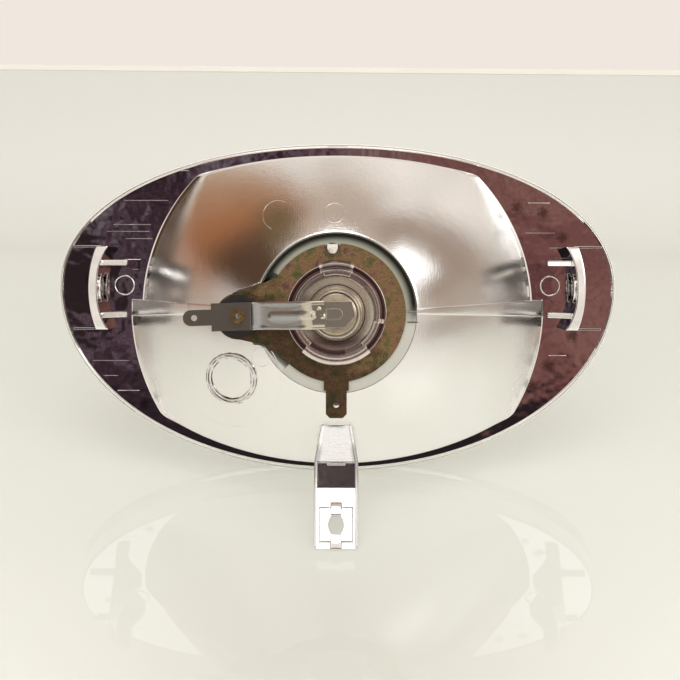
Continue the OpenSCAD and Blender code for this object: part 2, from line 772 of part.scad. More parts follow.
module contact_spring() {
    bead_w = 2.2;
    bead_h = 0.4;
    bead_from = 0.25;
    color("silver") stand() at_rivet() {
        strip_band(contact_w, 0, 1, -contact_t / 2, contact_t / 2);
        strip_band(bead_w, bead_from, level_share, 0, contact_t / 2 + bead_h);
        translate([hinge_x, 0, hinge_z]) rotate([90, 0, 0])
            cylinder(r = contact_t / 2, h = contact_w, center = true);
    }
}

module contact_tongue() {
    tail_x = strip_end_x - 2.6;
    nose_x = 5.7;
    half_w = contact_w / 2 - 0.3;
    corner_cut = 3.1;
    boss = [4.6, 3.3];
    boss_from = [0.6, -1.6];
    color("silver") stand() translate([0, 0, tongue_z]) {
        linear_extrude(contact_t) polygon([[tail_x, half_w], [nose_x - 1, half_w],
            [nose_x, -0.4], [nose_x - corner_cut, -half_w], [tail_x, -half_w]]);
        // raised pad behind the point that bears on the bulb
        translate([strip_end_x + boss_from[0], boss_from[1], contact_t - close_gap])
            cube([boss[0], boss[1], pad_h + close_gap]);
    }
}

module tongue_rivet() {
    head_r = 1.15;
    head_t = 0.45;
    cup_r = 0.6;
    color("silver") stand() translate([strip_end_x - 1.4, 0.2, tongue_z + 2 * contact_t])
        difference() {
            cylinder(r = head_r, h = head_t);
            translate([0, 0, head_t / 2]) cylinder(r = cup_r, h = head_t);
        }
}

module bulb_collar() {
    skirt_t = 0.9;
    skirt_h = 4;
    notch_spare = 3;
    notch_r = collar_r - claw_reach - loose_gap;
    color("silver") stand() translate([0, 0, collar_z]) {
        difference() {
            tube(collar_r, cap_r - loose_gap, collar_t);
            // notches that pass the claws when the bulb is turned
            for (from_a = claw_from)
                translate([0, 0, -cut]) sector(from_a - bayonet_turn - notch_spare / 2,
                    claw_width + notch_spare, notch_r, collar_r + cut, collar_t + 2 * cut);
        }
        translate([0, 0, -skirt_h])
            tube(glass_r + skirt_t, glass_r + close_gap, skirt_h);
    }
}

module bulb_shell() {
    foot_r = cap_r + 1;
    mouth_r = cap_r - 0.8;
    wall = 0.5;
    color("silver") stand() rotate_extrude() polygon([[foot_r - wall, cap_z], [foot_r, cap_z],
        [cap_r + 0.3, cap_z + 0.9], [cap_r, cap_z + 2.4], [cap_r - 0.2, cap_top - 0.4],
        [cap_r - 0.4, cap_top], [mouth_r + 0.1, cap_top], [mouth_r, cap_top - 0.4],
        [cap_r - wall, cap_z + 2.4], [cap_r - wall + 0.2, cap_z + 1]]);
}

module bulb_insulator() {
    plug_h = 3.2;
    color("black") stand() translate([0, 0, tip_base - plug_h])
        cylinder(r = cap_r - 0.85, h = plug_h);
}

module bulb_tip() {
    tip_r = cap_r - 1.7;
    dome_z = cap_top + tip_rise;
    color("silver") stand() rotate_extrude() polygon([[0, tip_base], [tip_r, tip_base],
        [tip_r, tip_base + 0.7], [tip_r * 0.8, tip_base + 1.1], [tip_r * 0.45, dome_z - 0.1],
        [0, dome_z]]);
}

module bulb_glass() {
    wall = 0.6;
    ball_z = collar_z - glass_len + glass_r;
    function shell(r) = concat(
        [for (a = [0:10:90]) [r * sin(a), ball_z - r * cos(a)]], [[r, collar_z - close_gap]]);
    color("lightcyan", 0.5) stand() rotate_extrude()
        polygon(concat(shell(glass_r), reversed(shell(glass_r - wall))));
}

module bulb_stem() {
    stem_in = 5;
    foot_r = 4.5;
    tip_r = 3;
    press_len = 2;
    stem_end = cap_z + stem_in;
    color("lightcyan", 0.6) stand() rotate_extrude() polygon([[0, stem_end], [foot_r, stem_end],
        [foot_r - close_gap, collar_z - press_len], [tip_r + wire_r, stem_tip_z + press_len],
        [tip_r, stem_tip_z], [0, stem_tip_z]]);
}

module lead_wires() {
    color("lightgray") stand() for (side = [-1, 1])
        translate([side * wire_x, 0, filament_z - wire_r])
            cylinder(r = wire_r, h = stem_tip_z - filament_z + wire_r);
}

module filament() {
    coil_r = 0.25;
    color("dimgray") stand() translate([0, 0, filament_z]) rotate([0, 90, 0])
        cylinder(r = coil_r, h = 2 * wire_x, center = true);
}

reflector();
bulb_seat();
pivot_lugs();
lens();
lens_seal();
adjuster_clip();
holder_plate();
socket_ring();
contact_insulator();
insulating_washer();
contact_terminal();
contact_rivet();
contact_spring();
contact_tongue();
tongue_rivet();
bulb_collar();
bulb_shell();
bulb_insulator();
bulb_tip();
bulb_glass();
bulb_stem();
lead_wires();
filament();
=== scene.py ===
"""Looks of the scooter headlight: plated reflector, glass lens, bulb holder and a soft studio."""

import json
import math

import bmesh
import bpy
import numpy as np
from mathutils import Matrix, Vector


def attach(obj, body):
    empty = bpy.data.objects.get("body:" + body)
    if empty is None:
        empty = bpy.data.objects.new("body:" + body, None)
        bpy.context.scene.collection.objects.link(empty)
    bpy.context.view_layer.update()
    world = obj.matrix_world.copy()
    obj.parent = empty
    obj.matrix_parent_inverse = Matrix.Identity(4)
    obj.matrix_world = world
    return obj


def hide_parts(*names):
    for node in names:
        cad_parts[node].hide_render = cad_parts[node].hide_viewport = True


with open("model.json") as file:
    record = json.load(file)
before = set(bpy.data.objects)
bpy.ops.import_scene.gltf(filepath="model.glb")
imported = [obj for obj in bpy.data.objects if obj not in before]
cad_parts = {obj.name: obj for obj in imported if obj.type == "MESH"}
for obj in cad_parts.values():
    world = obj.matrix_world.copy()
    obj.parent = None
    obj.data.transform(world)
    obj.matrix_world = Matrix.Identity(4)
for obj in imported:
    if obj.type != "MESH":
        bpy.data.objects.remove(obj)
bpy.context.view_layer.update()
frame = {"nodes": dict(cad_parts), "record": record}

# Sizes of the lamp in millimetres, as in the solids, drawn as seen from behind
LENS_A = 89.0  # half the width
LENS_TOP = 52.9  # upper edge over the bulb's axis
LENS_LOW, FRONT_LOW = 51.8, 50.6  # lower edge under the axis, at the rear rim and in front
WAIST = 7.1  # widest point over the bulb's axis
FULLNESS = 2.1  # power of the upper half's outline, 2 for an ellipse
SEAT_Z, SEAT_R = 36.2, 24.2  # the bulb seat's height over the flange and its radius
HOLE_R, FLOOR_Z = 12.0, 33.0  # the bulb's hole and the seat's front face
KNOCK_OUT = (-32.3, -20.4)  # middle of the side lamp's knock-out ring
# The half bowls' radius at the flange and their height at the axis
UPPER, LOWER = (62.0, 47.5), (65.6, SEAT_Z / (1 - (SEAT_R / 65.6) ** 2))
LEAN = math.radians(22)  # how far the lamp leans forward
STAND = np.array([0.0, 0.015369, 0.051209])  # the drawing's origin in the row frame, in metres


def row(points):
    """Points of the drawing, in millimetres, placed in the row frame, in metres."""
    p = np.asarray(points, float).reshape(-1, 3) / 1000
    c, s = math.cos(LEAN), math.sin(LEAN)
    return np.stack([p[:, 0], p[:, 1] * s - p[:, 2] * c, p[:, 1] * c + p[:, 2] * s], 1) + STAND


def add(name, data):
    """A new object in the scene."""
    made = bpy.data.objects.new(name, data)
    bpy.context.scene.collection.objects.link(made)
    return made


def solid(name, points, faces, bevel=0.0, sharp=40.0):
    """An object from points in the drawing's millimetres.

    Edges are rounded by the bevel, in millimetres too, and shaded smooth up to the sharp angle.
    """
    mesh = bpy.data.meshes.new(name)
    mesh.from_pydata([tuple(p) for p in row(points)], [], faces)
    mesh.validate()
    bm = bmesh.new()
    bm.from_mesh(mesh)
    bmesh.ops.remove_doubles(bm, verts=bm.verts, dist=1e-7)
    bmesh.ops.recalc_face_normals(bm, faces=bm.faces)
    if bevel:
        edges = [e for e in bm.edges if e.is_manifold and e.calc_face_angle() > math.radians(30)]
        bmesh.ops.bevel(bm, geom=edges, offset=bevel / 1000, segments=2, profile=0.5, affect="EDGES",
                        clamp_overlap=True)
    for f in bm.faces:
        f.smooth = True
    for e in bm.edges:
        e.smooth = not (e.is_manifold and e.calc_face_angle() > math.radians(sharp))
    bm.to_mesh(mesh)
    bm.free()
    return add(name, mesh)


def grid_faces(columns, rows):
    """Faces of a grid that closes on itself both ways."""
    steps = [(i * rows, (i + 1) % columns * rows) for i in range(columns)]
    return [(a + j, b + j, b + (j + 1) % rows, a + (j + 1) % rows) for a, b in steps for j in range(rows)]


def tube_faces(sections, size):
    """Faces of a tube with closed ends, from the number of its sections and of their points."""
    faces = grid_faces(sections, size)[:(sections - 1) * size]
    return faces + [tuple(range(size)), tuple(range((sections - 1) * size, sections * size))]


def circle(radius, count):
    """Points round the origin."""
    return [(radius * math.cos(a), radius * math.sin(a)) for a in np.linspace(0, 2 * math.pi, count, endpoint=False)]


def slab(name, near, far, bevel=0.15, sharp=40.0):
    """A closed prism between two outlines with the same number of points."""
    n = len(near)
    faces = [tuple(range(n)), tuple(range(2 * n - 1, n - 1, -1))]
    faces += [(i, (i + 1) % n, n + (i + 1) % n, n + i) for i in range(n)]
    return solid(name, list(near) + list(far), faces, bevel, sharp)


def upright(name, z0, z1, outline, bevel=0.15, sharp=40.0):
    """A prism that stands on the drawing, from its outline in x and y."""
    return slab(name, [(x, y, z0) for x, y in outline], [(x, y, z1) for x, y in outline], bevel, sharp)


def bar(name, x0, x1, outline, bevel=0.15, sharp=40.0):
    """A prism along x, from its outline in y and z."""
    return slab(name, [(x0, y, z) for y, z in outline], [(x1, y, z) for y, z in outline], bevel, sharp)


def block(name, low, high, bevel=0.15):
    """A box between two corners, in the drawing's millimetres."""
    outline = [(low[0], low[1]), (high[0], low[1]), (high[0], high[1]), (low[0], high[1])]
    return upright(name, low[2], high[2], outline, bevel)


def join(name, parts):
    """Joins several meshes into one object."""
    with bpy.context.temp_override(active_object=parts[0], object=parts[0], selected_objects=parts,
                                   selected_editable_objects=parts):
        bpy.ops.object.join()
    parts[0].name = name
    parts[0].data.name = name
    return parts[0]


def halves(above, inset, low):
    """The outline's power and half height, for points above the widest point or under it."""
    return np.where(above, FULLNESS, 2.0), np.where(above, LENS_TOP - WAIST, low + WAIST) - inset


def outline_radius(angle, inset):
    """Distance from the bulb axis to the headlight's outline, drawn in by an inset."""
    low, high = np.zeros_like(angle), np.full_like(angle, 120.0)
    for _ in range(50):
        r = (low + high) / 2
        x, y = r * np.cos(angle), r * np.sin(angle) - WAIST
        power, half = halves(y >= 0, inset, LENS_LOW)
        inside = np.abs(x / (LENS_A - inset)) ** power + np.abs(y / half) ** power < 1
        low, high = np.where(inside, r, low), np.where(inside, high, r)
    return (low + high) / 2


def bowl_z(r, bowl):
    """Height of a half bowl over the flange at a radius."""
    return bowl[1] * (1 - (r / bowl[0]) ** 2)


def rear_z(x, y):
    """Height of the reflector's rear surface over the flange."""
    return max(bowl_z(np.hypot(x, y), UPPER if y > 0 else LOWER), 0)


def reflector_shell():
    """The flange with its lip and the two half bowls with the bulb seat, as one closed shell."""
    per_half = 240
    eps = math.radians(0.03)
    angles = np.concatenate([np.linspace(start + eps, start + math.pi - eps, per_half) for start in (0, math.pi)])
    bowls = [UPPER] * per_half + [LOWER] * per_half
    edge = {inset: outline_radius(angles, inset) for inset in (0.42, 1.15, 4.6, 6.4)}
    points = []
    for i, (a, bowl) in enumerate(zip(angles, bowls)):
        r_b = min(bowl[0], edge[4.6][i])
        z_b = max(bowl_z(r_b, bowl), 0.06)
        f = min(0.45, z_b / 3)
        top = bowl_z(SEAT_R, bowl)
        g = min(0.4, max(top - SEAT_Z, 0.03) / 2)
        # The hole, the seat and its wall, and the bowl
        prof = [(HOLE_R, FLOOR_Z + 0.3), (HOLE_R, SEAT_Z - 0.3), (HOLE_R + 0.09, SEAT_Z - 0.09),
                (HOLE_R + 0.3, SEAT_Z)]
        prof += [(r, SEAT_Z) for r in (16, 20, SEAT_R - 0.35)]
        prof += [(SEAT_R - 0.1, SEAT_Z + 0.25 * g), (SEAT_R, SEAT_Z + 0.9 * g)]
        prof += [(SEAT_R, top - g), (SEAT_R + 0.12, top - 0.35 * g)]
        prof += [(r, bowl_z(r, bowl)) for r in np.linspace(SEAT_R + g, r_b - f, 64)]
        prof += [(r_b - 0.3 * f, bowl_z(r_b, bowl) - 0.3 * f if z_b > 1 else z_b * 0.8),
                 (r_b, z_b - f), (r_b, f), (r_b + 0.3 * f, 0.3 * f), (r_b + f, 0)]
        # The flange, its raised lip and its edge
        r_i = edge[1.15][i]
        room = r_i - 0.15 - r_b - f
        prof += [(r_b + f + room * share, 0) for share in (0.02, 0.1, 0.4, 0.7, 0.9, 0.98)]
        r_o = edge[0.42][i]
        middle = (r_i + r_o) / 2
        prof += [(r_i - 0.15, 0), (r_i, 0.12), (r_i + 0.06, 0.4), (r_i + 0.16, 0.62), (middle - 0.1, 0.74),
                 (middle, 0.77), (middle + 0.1, 0.74), (r_o - 0.16, 0.62), (r_o - 0.05, 0.4), (r_o, 0.1),
                 (r_o, -1.8), (r_o - 0.06, -1.94), (r_o - 0.2, -2)]
        # The inner side, back to the seat's front face
        inner = (bowl[0] - 1.8, bowl[1] - 2)
        r_w = min(inner[0], edge[6.4][i])
        z_w = max(bowl_z(r_w, inner), -1.7)
        prof += [(r_w + 0.3, -2), (r_w, -1.75), (r_w, z_w)]
        r_f = inner[0] * math.sqrt(1 - FLOOR_Z / inner[1])
        prof += [(r, bowl_z(r, inner)) for r in np.linspace(r_w - 0.3, r_f, 40)]
        prof += [(r_f - 0.5, FLOOR_Z), (HOLE_R + 3, FLOOR_Z), (HOLE_R + 0.3, FLOOR_Z)]
        c, s = math.cos(a), math.sin(a)
        points += [(r * c, r * s, z) for r, z in prof]
        count = len(prof)
    return solid("reflector_shell", points, grid_faces(len(angles), count), sharp=32)


# The contact's rivet on the plate's ear: its distance from the axis and its turn round it
EAR_REACH, EAR_TURN = 29.5, math.radians(2)


def turned(x, y):
    """A point given along the ear, placed in the drawing."""
    c, s = math.cos(EAR_TURN), math.sin(EAR_TURN)
    return (x * c - y * s, x * s + y * c)


def ear_outline(grow):
    """The holder plate's ear as seen from behind, grown by a clearance."""
    reach, radius, neck = EAR_REACH, 7.0, 12.5
    # Distance from the rivet towards the axis, and how far out past the ear's round end
    upper = [(neck, 4.5), (5.2, 1.8), (-1.9, -0.3)]
    lower = [(0, 0), (7.4, 1.9), (11.2, 4.6), (neck + 2.4, 7.4)]
    pts = [(-10.45, 0)] + [(p[0] - reach, radius + p[1] + grow) for p in upper]
    start = math.atan2(radius - 0.3 + grow, -1.9)
    for k in range(1, 20):
        a = start + (1.5 * math.pi - start) * k / 20
        pts.append((-reach + (radius + grow) * math.cos(a), (radius + grow) * math.sin(a)))
    pts += [(p[0] - reach, -radius - p[1] - grow) for p in lower]
    return [turned(x, y) for x, y in pts]


def carve(made, cutter):
    """Cuts a closed mesh out of another."""
    mod = made.modifiers.new("cut", "BOOLEAN")
    mod.operation, mod.solver, mod.object = "DIFFERENCE", "MANIFOLD", cutter
    with bpy.context.temp_override(active_object=made, object=made):
        bpy.ops.object.modifier_apply(modifier=mod.name)
    bpy.data.objects.remove(cutter, do_unlink=True)
    return made


def ridge(side):
    """The tapered ridge along the joint of the half bowls."""
    start = (SEAT_R - 0.1) if side > 0 else 37.6
    narrow, wide, mid, rise = 2.0, 5.4, 0.7, 0.6
    near, far = SEAT_R + 0.4, 65.9
    rs = np.linspace(start, far, 60)
    across = [(-1, -2.0), (-1, 0.15), (-0.93, 0.45), (-0.8, 0.58), (-0.4, 0.66), (0, 0.68), (0.4, 0.66),
              (0.8, 0.58), (0.93, 0.45), (1, 0.15), (1, -2.0)]
    points = []
    for r in rs:
        share = max(0.0, (r - near) / (far - near))
        half = (narrow + (wide - narrow) * share) / 2
        low, top = sorted(bowl_z(r, bowl) for bowl in (UPPER, LOWER))
        for u, v in across:
            z = top + v * rise / 0.68 if v > -1 else max(low - 0.5, -1.0)
            points.append((side * r, mid + u * half, z))
    return solid("ridge", points, tube_faces(len(rs), len(across)), sharp=60)


def bead(name, cx, cy, radius, width, height, span=(0, 360), sunk=0.12, base=rear_z):
    """A low rounded bead that runs round a circle on the reflector."""
    closed = span == (0, 360)
    n = max(24, int(abs(span[1] - span[0]) / 360 * radius * 30))
    turn = np.radians(np.linspace(span[0], span[1], n, endpoint=not closed))
    across = [(-1, -1), (-0.95, 0.2), (-0.7, 0.72), (-0.35, 0.95), (0, 1), (0.35, 0.95), (0.7, 0.72),
              (0.95, 0.2), (1, -1)]
    points = []
    for a in turn:
        for u, v in across:
            r = radius + u * width / 2
            x, y = cx + r * math.cos(a), cy + r * math.sin(a)
            points.append((x, y, base(x, y) + (v * height if v > 0 else -sunk)))
    faces = (grid_faces if closed else tube_faces)(len(turn), len(across))
    return solid(name, points, faces, sharp=60)


# Side view of the adjuster arm, in millimetres from the bulb axis and behind the flange
ARM_TOP, ARM_CAP, CAP_Z, WEB_Z, WEB_T = 34.5, 45.6, 33.5, 30.5, 1.2
TILT, RUN, CLIP_UP = math.radians(30.6), 21.0, 7.6
BEND_Z = WEB_Z - WEB_T
DROP = STAND[2] * 1000
BEND = (BEND_Z * math.sin(LEAN) + DROP - RUN * math.cos(TILT + LEAN)) / math.cos(LEAN)
FOOT = (-BEND - RUN * math.cos(TILT), BEND_Z + RUN * math.sin(TILT))


def arm_half(y):
    """Half the arm's width at a height."""
    share = min(1.0, max(0.0, (-y - ARM_TOP) / (ARM_CAP - ARM_TOP)))
    return (9.1 + (13.2 - 9.1) * share) / 2


def adjuster_arm():
    """The arm under the bowl: closed top, bent web, side walls, hooks and a small step."""
    c, s = math.cos(TILT), math.sin(TILT)
    top_z = bowl_z(ARM_TOP, LOWER)

    def along(t, up):
        """A point of the tilted web, by its distance below the bend and its height over the front face."""
        return (-BEND - t * c + up * s, BEND_Z + t * s + up * c)

    heel = along(RUN, WEB_T + 1.6)
    foot_top = along(RUN, WEB_T)
    shift = WEB_T * math.tan(TILT / 2)
    panel = [(-ARM_TOP + 0.8, top_z - 1.2), (-ARM_TOP, top_z + 0.1), (-38, CAP_Z + 0.62 * (top_z - CAP_Z) - 0.1),
             (-ARM_CAP + 0.3, CAP_Z - 0.35), (-ARM_CAP, CAP_Z - 0.75), (-ARM_CAP, WEB_Z + 0.3),
             (-ARM_CAP - 0.3, WEB_Z), (-BEND - shift, WEB_Z), foot_top, FOOT, (-BEND, BEND_Z),
             (-ARM_CAP + 1.2, BEND_Z), (-ARM_TOP + 1, BEND_Z - 1.8)]
    inner = 0.7
    web = slab("arm_web", [(inner - arm_half(y), y, z) for y, z in panel],
               [(arm_half(y) - inner, y, z) for y, z in panel], 0.12, 9)
    middle = RUN - CLIP_UP
    window = [along(middle + t, up) for t, up in ((-3.5, -1), (3.5, -1), (3.5, WEB_T + 1), (-3.5, WEB_T + 1))]
    parts = [carve(web, bar("window", -2.9, 2.9, window, 0))]
    wall_y = -FRONT_LOW + 4.6
    cheek = [(-ARM_TOP + 0.8, top_z - 1.5), (-ARM_TOP, top_z + 0.3), (-ARM_CAP, CAP_Z), heel, FOOT,
             (-BEND, BEND_Z), (wall_y - 0.4, 12), (wall_y + 0.6, 12), (wall_y + 0.6, 22), (-ARM_CAP + 0.4, 26)]
    for side in (-1, 1):
        parts.append(slab("arm_wall", [(side * arm_half(y), y, z) for y, z in cheek],
                          [(side * (arm_half(y) - 0.8), y, z) for y, z in cheek], 0.14, 15))
    back, front = -ARM_CAP + 0.3, -ARM_CAP - 1.1
    step = [(back, WEB_Z - 0.3), (back, WEB_Z + 0.86), (front, WEB_Z + 1.1), (front, WEB_Z - 0.3)]
    parts.append(bar("arm_step", -2.8, 2.8, step, 0.1))

    def hook_side(x, sign):
        """A hook's outline on one of its sides, wider at its foot."""
        base, root, tongue, top = 5.35, 2.0, 2.0, 0.65
        side = [(base, -0.3), (base, top), (base - tongue, top), (base - tongue, top + 0.62),
                (base - 0.1, top + 0.75), (base + root, top + 0.37), (base + root, -0.3)]
        return [(x * (1.2 - 0.2 * min(1.0, max(0.0, up) / 1.3)), *along(middle + sign * t, WEB_T + up))
                for t, up in side]

    parts += [slab("hook", hook_side(-1.6, sign), hook_side(1.6, sign), 0.12, 25) for sign in (-1, 1)]
    # Fine ridges that outline the clip, broken at the hooks and set over its upper edge
    half, wide, gap, over = 5.45, 5.0, 2.2, 5.95
    for x0, x1, t0, t1 in ((-wide, -wide, -half, half), (wide, wide, -half, half), (-wide, -gap, -over, -over),
                           (gap, wide, -over, -over), (-wide, -gap, half, half), (gap, wide, half, half)):
        foot, crest = ([(x0 - w, t0 - w), (x1 + w, t0 - w), (x1 + w, t1 + w), (x0 - w, t1 + w)]
                       for w in (0.18, 0.02))
        parts.append(slab("clip_line", [(x, *along(middle + t, WEB_T - 0.05)) for x, t in foot],
                          [(x, *along(middle + t, WEB_T + 0.24)) for x, t in crest], 0, 10))
    return parts


parts = [carve(reflector_shell(), upright("ear_room", SEAT_Z - 1.35, 60, ear_outline(0.4), 0))]
parts += [ridge(1), ridge(-1)] + adjuster_arm()
for radius, width, height in ((7.62, 0.6, 0.9), (6.75, 0.7, 0.75), (7.2, 1.1, 0.45)):
    parts.append(bead("knock_out", *KNOCK_OUT, radius, width, height, sunk=0.3))
parts.append(bead("knock_field", *KNOCK_OUT, 15.6, 0.3, 0.05, sunk=0.05, span=(150, 395)))
for cx, cy, radius, height, span in ((-22.8, -13.5, 2.9, 0.06, (0, 360)), (-0.7, 30.1, 3.0, 0.08, (0, 360)),
                                     (-18, 29.5, 4.5, 0.06, (60, 250))):
    parts.append(bead("ejector", cx, cy, radius, 0.25, height, sunk=0.05, span=span))
for side in (-1, 1):
    parts.append(bead("lug_mark", side * 68.2, 7.8, 3.05, 0.5, 0.3, sunk=0.1, base=lambda x, y: 0.0))
    near, far = sorted((side * 75.7, side * 84.3))
    parts += [block("lug_rib", (near, y - 0.3, -0.3), (far, y + 0.3, 1.5), 0.1)
              for y in (WAIST - 13.2, WAIST + 13.1)]
for x0, x1, y in ((-68.3, -54.3, 34.9), (-71.8, -59.7, 27.2), (-73.7, -60.3, 25.0), (-67.7, -59.2, 22.7),
                  (-78.5, -66.8, -16.4), (-70.5, -63.5, -26.0), (60.9, 67.9, 34.3), (60.2, 69.5, 24.7),
                  (67.9, 80.8, 19.9), (67.9, 73.4, -14.5)):
    parts.append(block("hairline", (x0, y - 0.09, -0.1), (x1, y + 0.09, 0.06), 0.04))
key = [(-2.85, 20.9), (-2.85, 19.2), (-2.5, 18.3), (-1.8, 17.7), (-0.6, 17.7), (0.1, 18.3), (0.45, 19.2),
       (0.45, 20.9)]
parts.append(slab("key", [(x, y, SEAT_Z - 0.3) for x, y in key],
                  [(x, y, SEAT_Z + 1.9 + 0.45 * (y - 17.5)) for x, y in key], 0.35))
for y in (-2.65, 0.4):
    parts.append(block("stop", (21.3, y - 0.3, SEAT_Z - 0.3), (SEAT_R + 0.5, y + 0.3, SEAT_Z + 1.1), 0.1))


PIVOT_Z, PIVOT_R = 7.8, 2.5  # the pivot hole's height over the flange and its radius


def lug_body(side, ys, outer, inner, top):
    """The crescent, with its crowned end face in narrow strips."""
    points, steps = [], 6
    for (x0, y), (x1, _) in zip(outer, inner):
        across = [x0 + (x1 - x0) * k / steps for k in range(steps + 1)]
        edge = [(x0, -0.3)] + [(x, top(x, y)) for x in across] + [(x1, -0.3)]
        points += [(side * x, y + WAIST, z) for x, z in edge]
    return solid("lug", points, tube_faces(len(ys), steps + 3), 0.2, 30)


def pivot_lug(side):
    """A lug with its crowned crescent, two gussets and the boss round the pivot hole."""
    ys = np.linspace(-13.05, 13.05, 41)
    outer = [(77.8 - 2.2 * abs(y / 13) ** 2.2, y) for y in ys]
    inner = [(75.1 - 3.4 * abs(y / 13) ** 2.6, y) for y in ys]

    def top(x, y):
        return 14.75 - 0.14 * (x - 76.4) - 1.5 * (y / 13) ** 2

    def rod(name, x0, x1, radius, count, bevel):
        """A rod along x on the pivot's axis."""
        outline = [(WAIST + u, PIVOT_Z + v) for u, v in circle(radius, count)]
        return bar(name, side * x0, side * x1, outline, bevel)

    made = [lug_body(side, ys, outer, inner, top), rod("boss", 74.3, 75.6, 4.7, 64, 0.4)]
    for piece in made:
        carve(piece, rod("bore", 66, 84, PIVOT_R, 48, 0))
    web = [(75, -0.3), (75, 11.5), (73.6, 11.2), (67.6, 2.9), (67.1, 2.2), (67.1, -0.3)]
    return made + [slab("gusset", *([(side * x, y + v, z) for x, z in web] for v in (-0.9, 0.9)), 0.35, 50)
                   for y in (WAIST - 8.6, WAIST + 7.9)]


lugs = join("lugs_visual", pivot_lug(-1) + pivot_lug(1))
reflector = join("reflector_visual", parts)


def lens_outline(inset, share, turn, low=FRONT_LOW):
    power, half = halves(np.sin(turn) >= 0, inset, low)
    x = share * (LENS_A - inset) * np.sign(np.cos(turn)) * np.abs(np.cos(turn)) ** (2 / power)
    y = WAIST + share * half * np.sign(np.sin(turn)) * np.abs(np.sin(turn)) ** (2 / power)
    return x, y


def lens_visual():
    """The glass lens: rim, rounded front edge and a dome with flutes inside."""
    count = 360
    steps = 40
    turn = np.linspace(0, 2 * math.pi, count, endpoint=False)
    skirt, dome, thick, edge_r, pitch = 14.0, 16.0, 2.6, 3.0, 8.2
    rings = []

    def ring(inset, z, share=1.0, low=FRONT_LOW):
        rings.append((*lens_outline(inset, share, turn, low), np.full(count, float(z))))

    for k in range(1, steps + 1):
        share = k / steps
        ring(edge_r, -skirt - dome * (1 - share * share), share)
    for a in np.linspace(0, math.pi / 2, 9)[1:]:
        ring(edge_r * (1 - math.sin(a)), -skirt + edge_r * (1 - math.cos(a)))
    for inset, z in ((0, -7), (0, -0.5), (0.05, -0.3), (0.14, -0.2), (0.24, -0.2), (0.32, -0.3), (0.36, -0.5),
                     (0.36, -2.6), (3.0, -2.6), (3.0, -9.9)):
        ring(inset, z, low=LENS_LOW if z > -3 else FRONT_LOW)
    for k in range(steps, 0, -1):
        share = k / steps
        x, y = lens_outline(4.5, share, turn)
        flute = 0.45 * np.abs(np.sin(math.pi * x / pitch)) * min(1.0, (1 - share) * 8)
        rings.append((x, y, -(skirt - thick) - dome * (1 - share * share) + flute))
    points = [(0, WAIST, -skirt - dome)]
    for x, y, z in rings:
        points += list(zip(x, y, z))
    points.append((0, WAIST, -(skirt - thick) - dome))
    last = len(points) - 1
    # Each ring as pairs of neighbouring points
    pairs = [[(1 + j * count + i, 1 + j * count + (i + 1) % count) for i in range(count)] for j in range(len(rings))]
    faces = [(0, b, a) for a, b in pairs[0]]
    for one, two in zip(pairs, pairs[1:]):
        faces += [(a, b, d, c) for (a, b), (c, d) in zip(one, two)]
    faces += [(a, b, last) for a, b in pairs[-1]]
    return solid("lens_visual", points, faces, sharp=50)


PLATE_Z, TONGUE_Z = 37.0, 51.4  # levels of the holder plate and of the tongue over the flange
CLAWS, CLAW_WIDTH = (70, -50, 192), 38  # the socket ring's claws: starts and width, in degrees


def revolved(name, section, columns):
    """A closed ring with one section, [radius, height], or one for each angle in degrees."""
    points = []
    for i in range(columns):
        a = 360 * i / columns
        c, s = math.cos(math.radians(a)), math.sin(math.radians(a))
        prof = section(a) if callable(section) else section
        points += [(r * c, r * s, z) for r, z in prof]
    return solid(name, points, grid_faces(columns, len(prof)), sharp=35)


def inside_span(a, start, width, soft=1.0):
    """1 where an angle lies in a span, with a short slope at its ends."""
    d = (a - start - width / 2 + 180) % 360 - 180
    return min(1.0, max(0.0, (width / 2 - abs(d)) / soft + 0.5))


def ring_section(a):
    """Channel with a lip and a rim, or a crowned bridge over it."""
    channel = [(12.65, 0.0), (12.65, 1.9), (12.69, 2.08), (12.79, 2.19), (12.9, 2.21), (13.0, 2.19), (13.1, 2.08),
               (13.15, 1.9), (13.15, 0.75), (13.2, 0.6), (13.35, 0.5), (14.0, 0.47), (14.65, 0.5), (14.8, 0.56),
               (14.92, 0.58), (15.03, 0.53), (15.1, 0.4), (15.1, 0.0)]
    bridge = [(12.65, 0.0), (12.65, 1.9), (12.69, 2.06), (12.79, 2.16), (12.95, 2.18), (13.15, 2.12), (13.4, 2.12),
              (13.7, 2.19), (14.1, 2.24), (14.5, 2.23), (14.9, 2.14), (15.2, 1.98), (15.5, 1.72), (15.72, 1.4),
              (15.85, 1.05), (15.92, 0.6), (15.95, 0.3), (15.95, 0.0)]
    share, outer = max((inside_span(a, start, width), reach) for start, width, reach in (
        (69, 42, 15.95), (-132, 84, 15.95), (-13, 6, 14.85), (187, 6, 14.85)))
    out = []
    for (r0, z0), (r1, z1) in zip(channel, bridge):
        r1 = 12.65 + (r1 - 12.65) * (outer - 12.65) / 3.3
        if outer < 15:
            r1 = max(r1, r0) if z0 < 0.01 or r0 > 14.9 else r1
        out.append((r0 + (r1 - r0) * share, PLATE_Z + z0 + (z1 - z0) * share))
    return out


def claw(start):
    """A claw of the socket ring over the bulb's collar, with a rounded edge."""
    section = [(11.55, 1.12), (11.47, 1.22), (11.45, 1.36), (11.5, 1.5), (11.6, 1.58), (11.8, 1.62), (12.3, 1.64),
               (12.9, 1.7), (12.9, 1.1), (12.0, 1.1)]
    points, steps = [], 24
    for i in range(steps + 1):
        a = math.radians(start + CLAW_WIDTH * i / steps)
        points += [(r * math.cos(a), r * math.sin(a), PLATE_Z + z) for r, z in section]
    return solid("claw", points, tube_faces(steps + 1, len(section)), 0.06, 50)


TWIST = 25  # degrees that the bulb turns from its notches to its seat


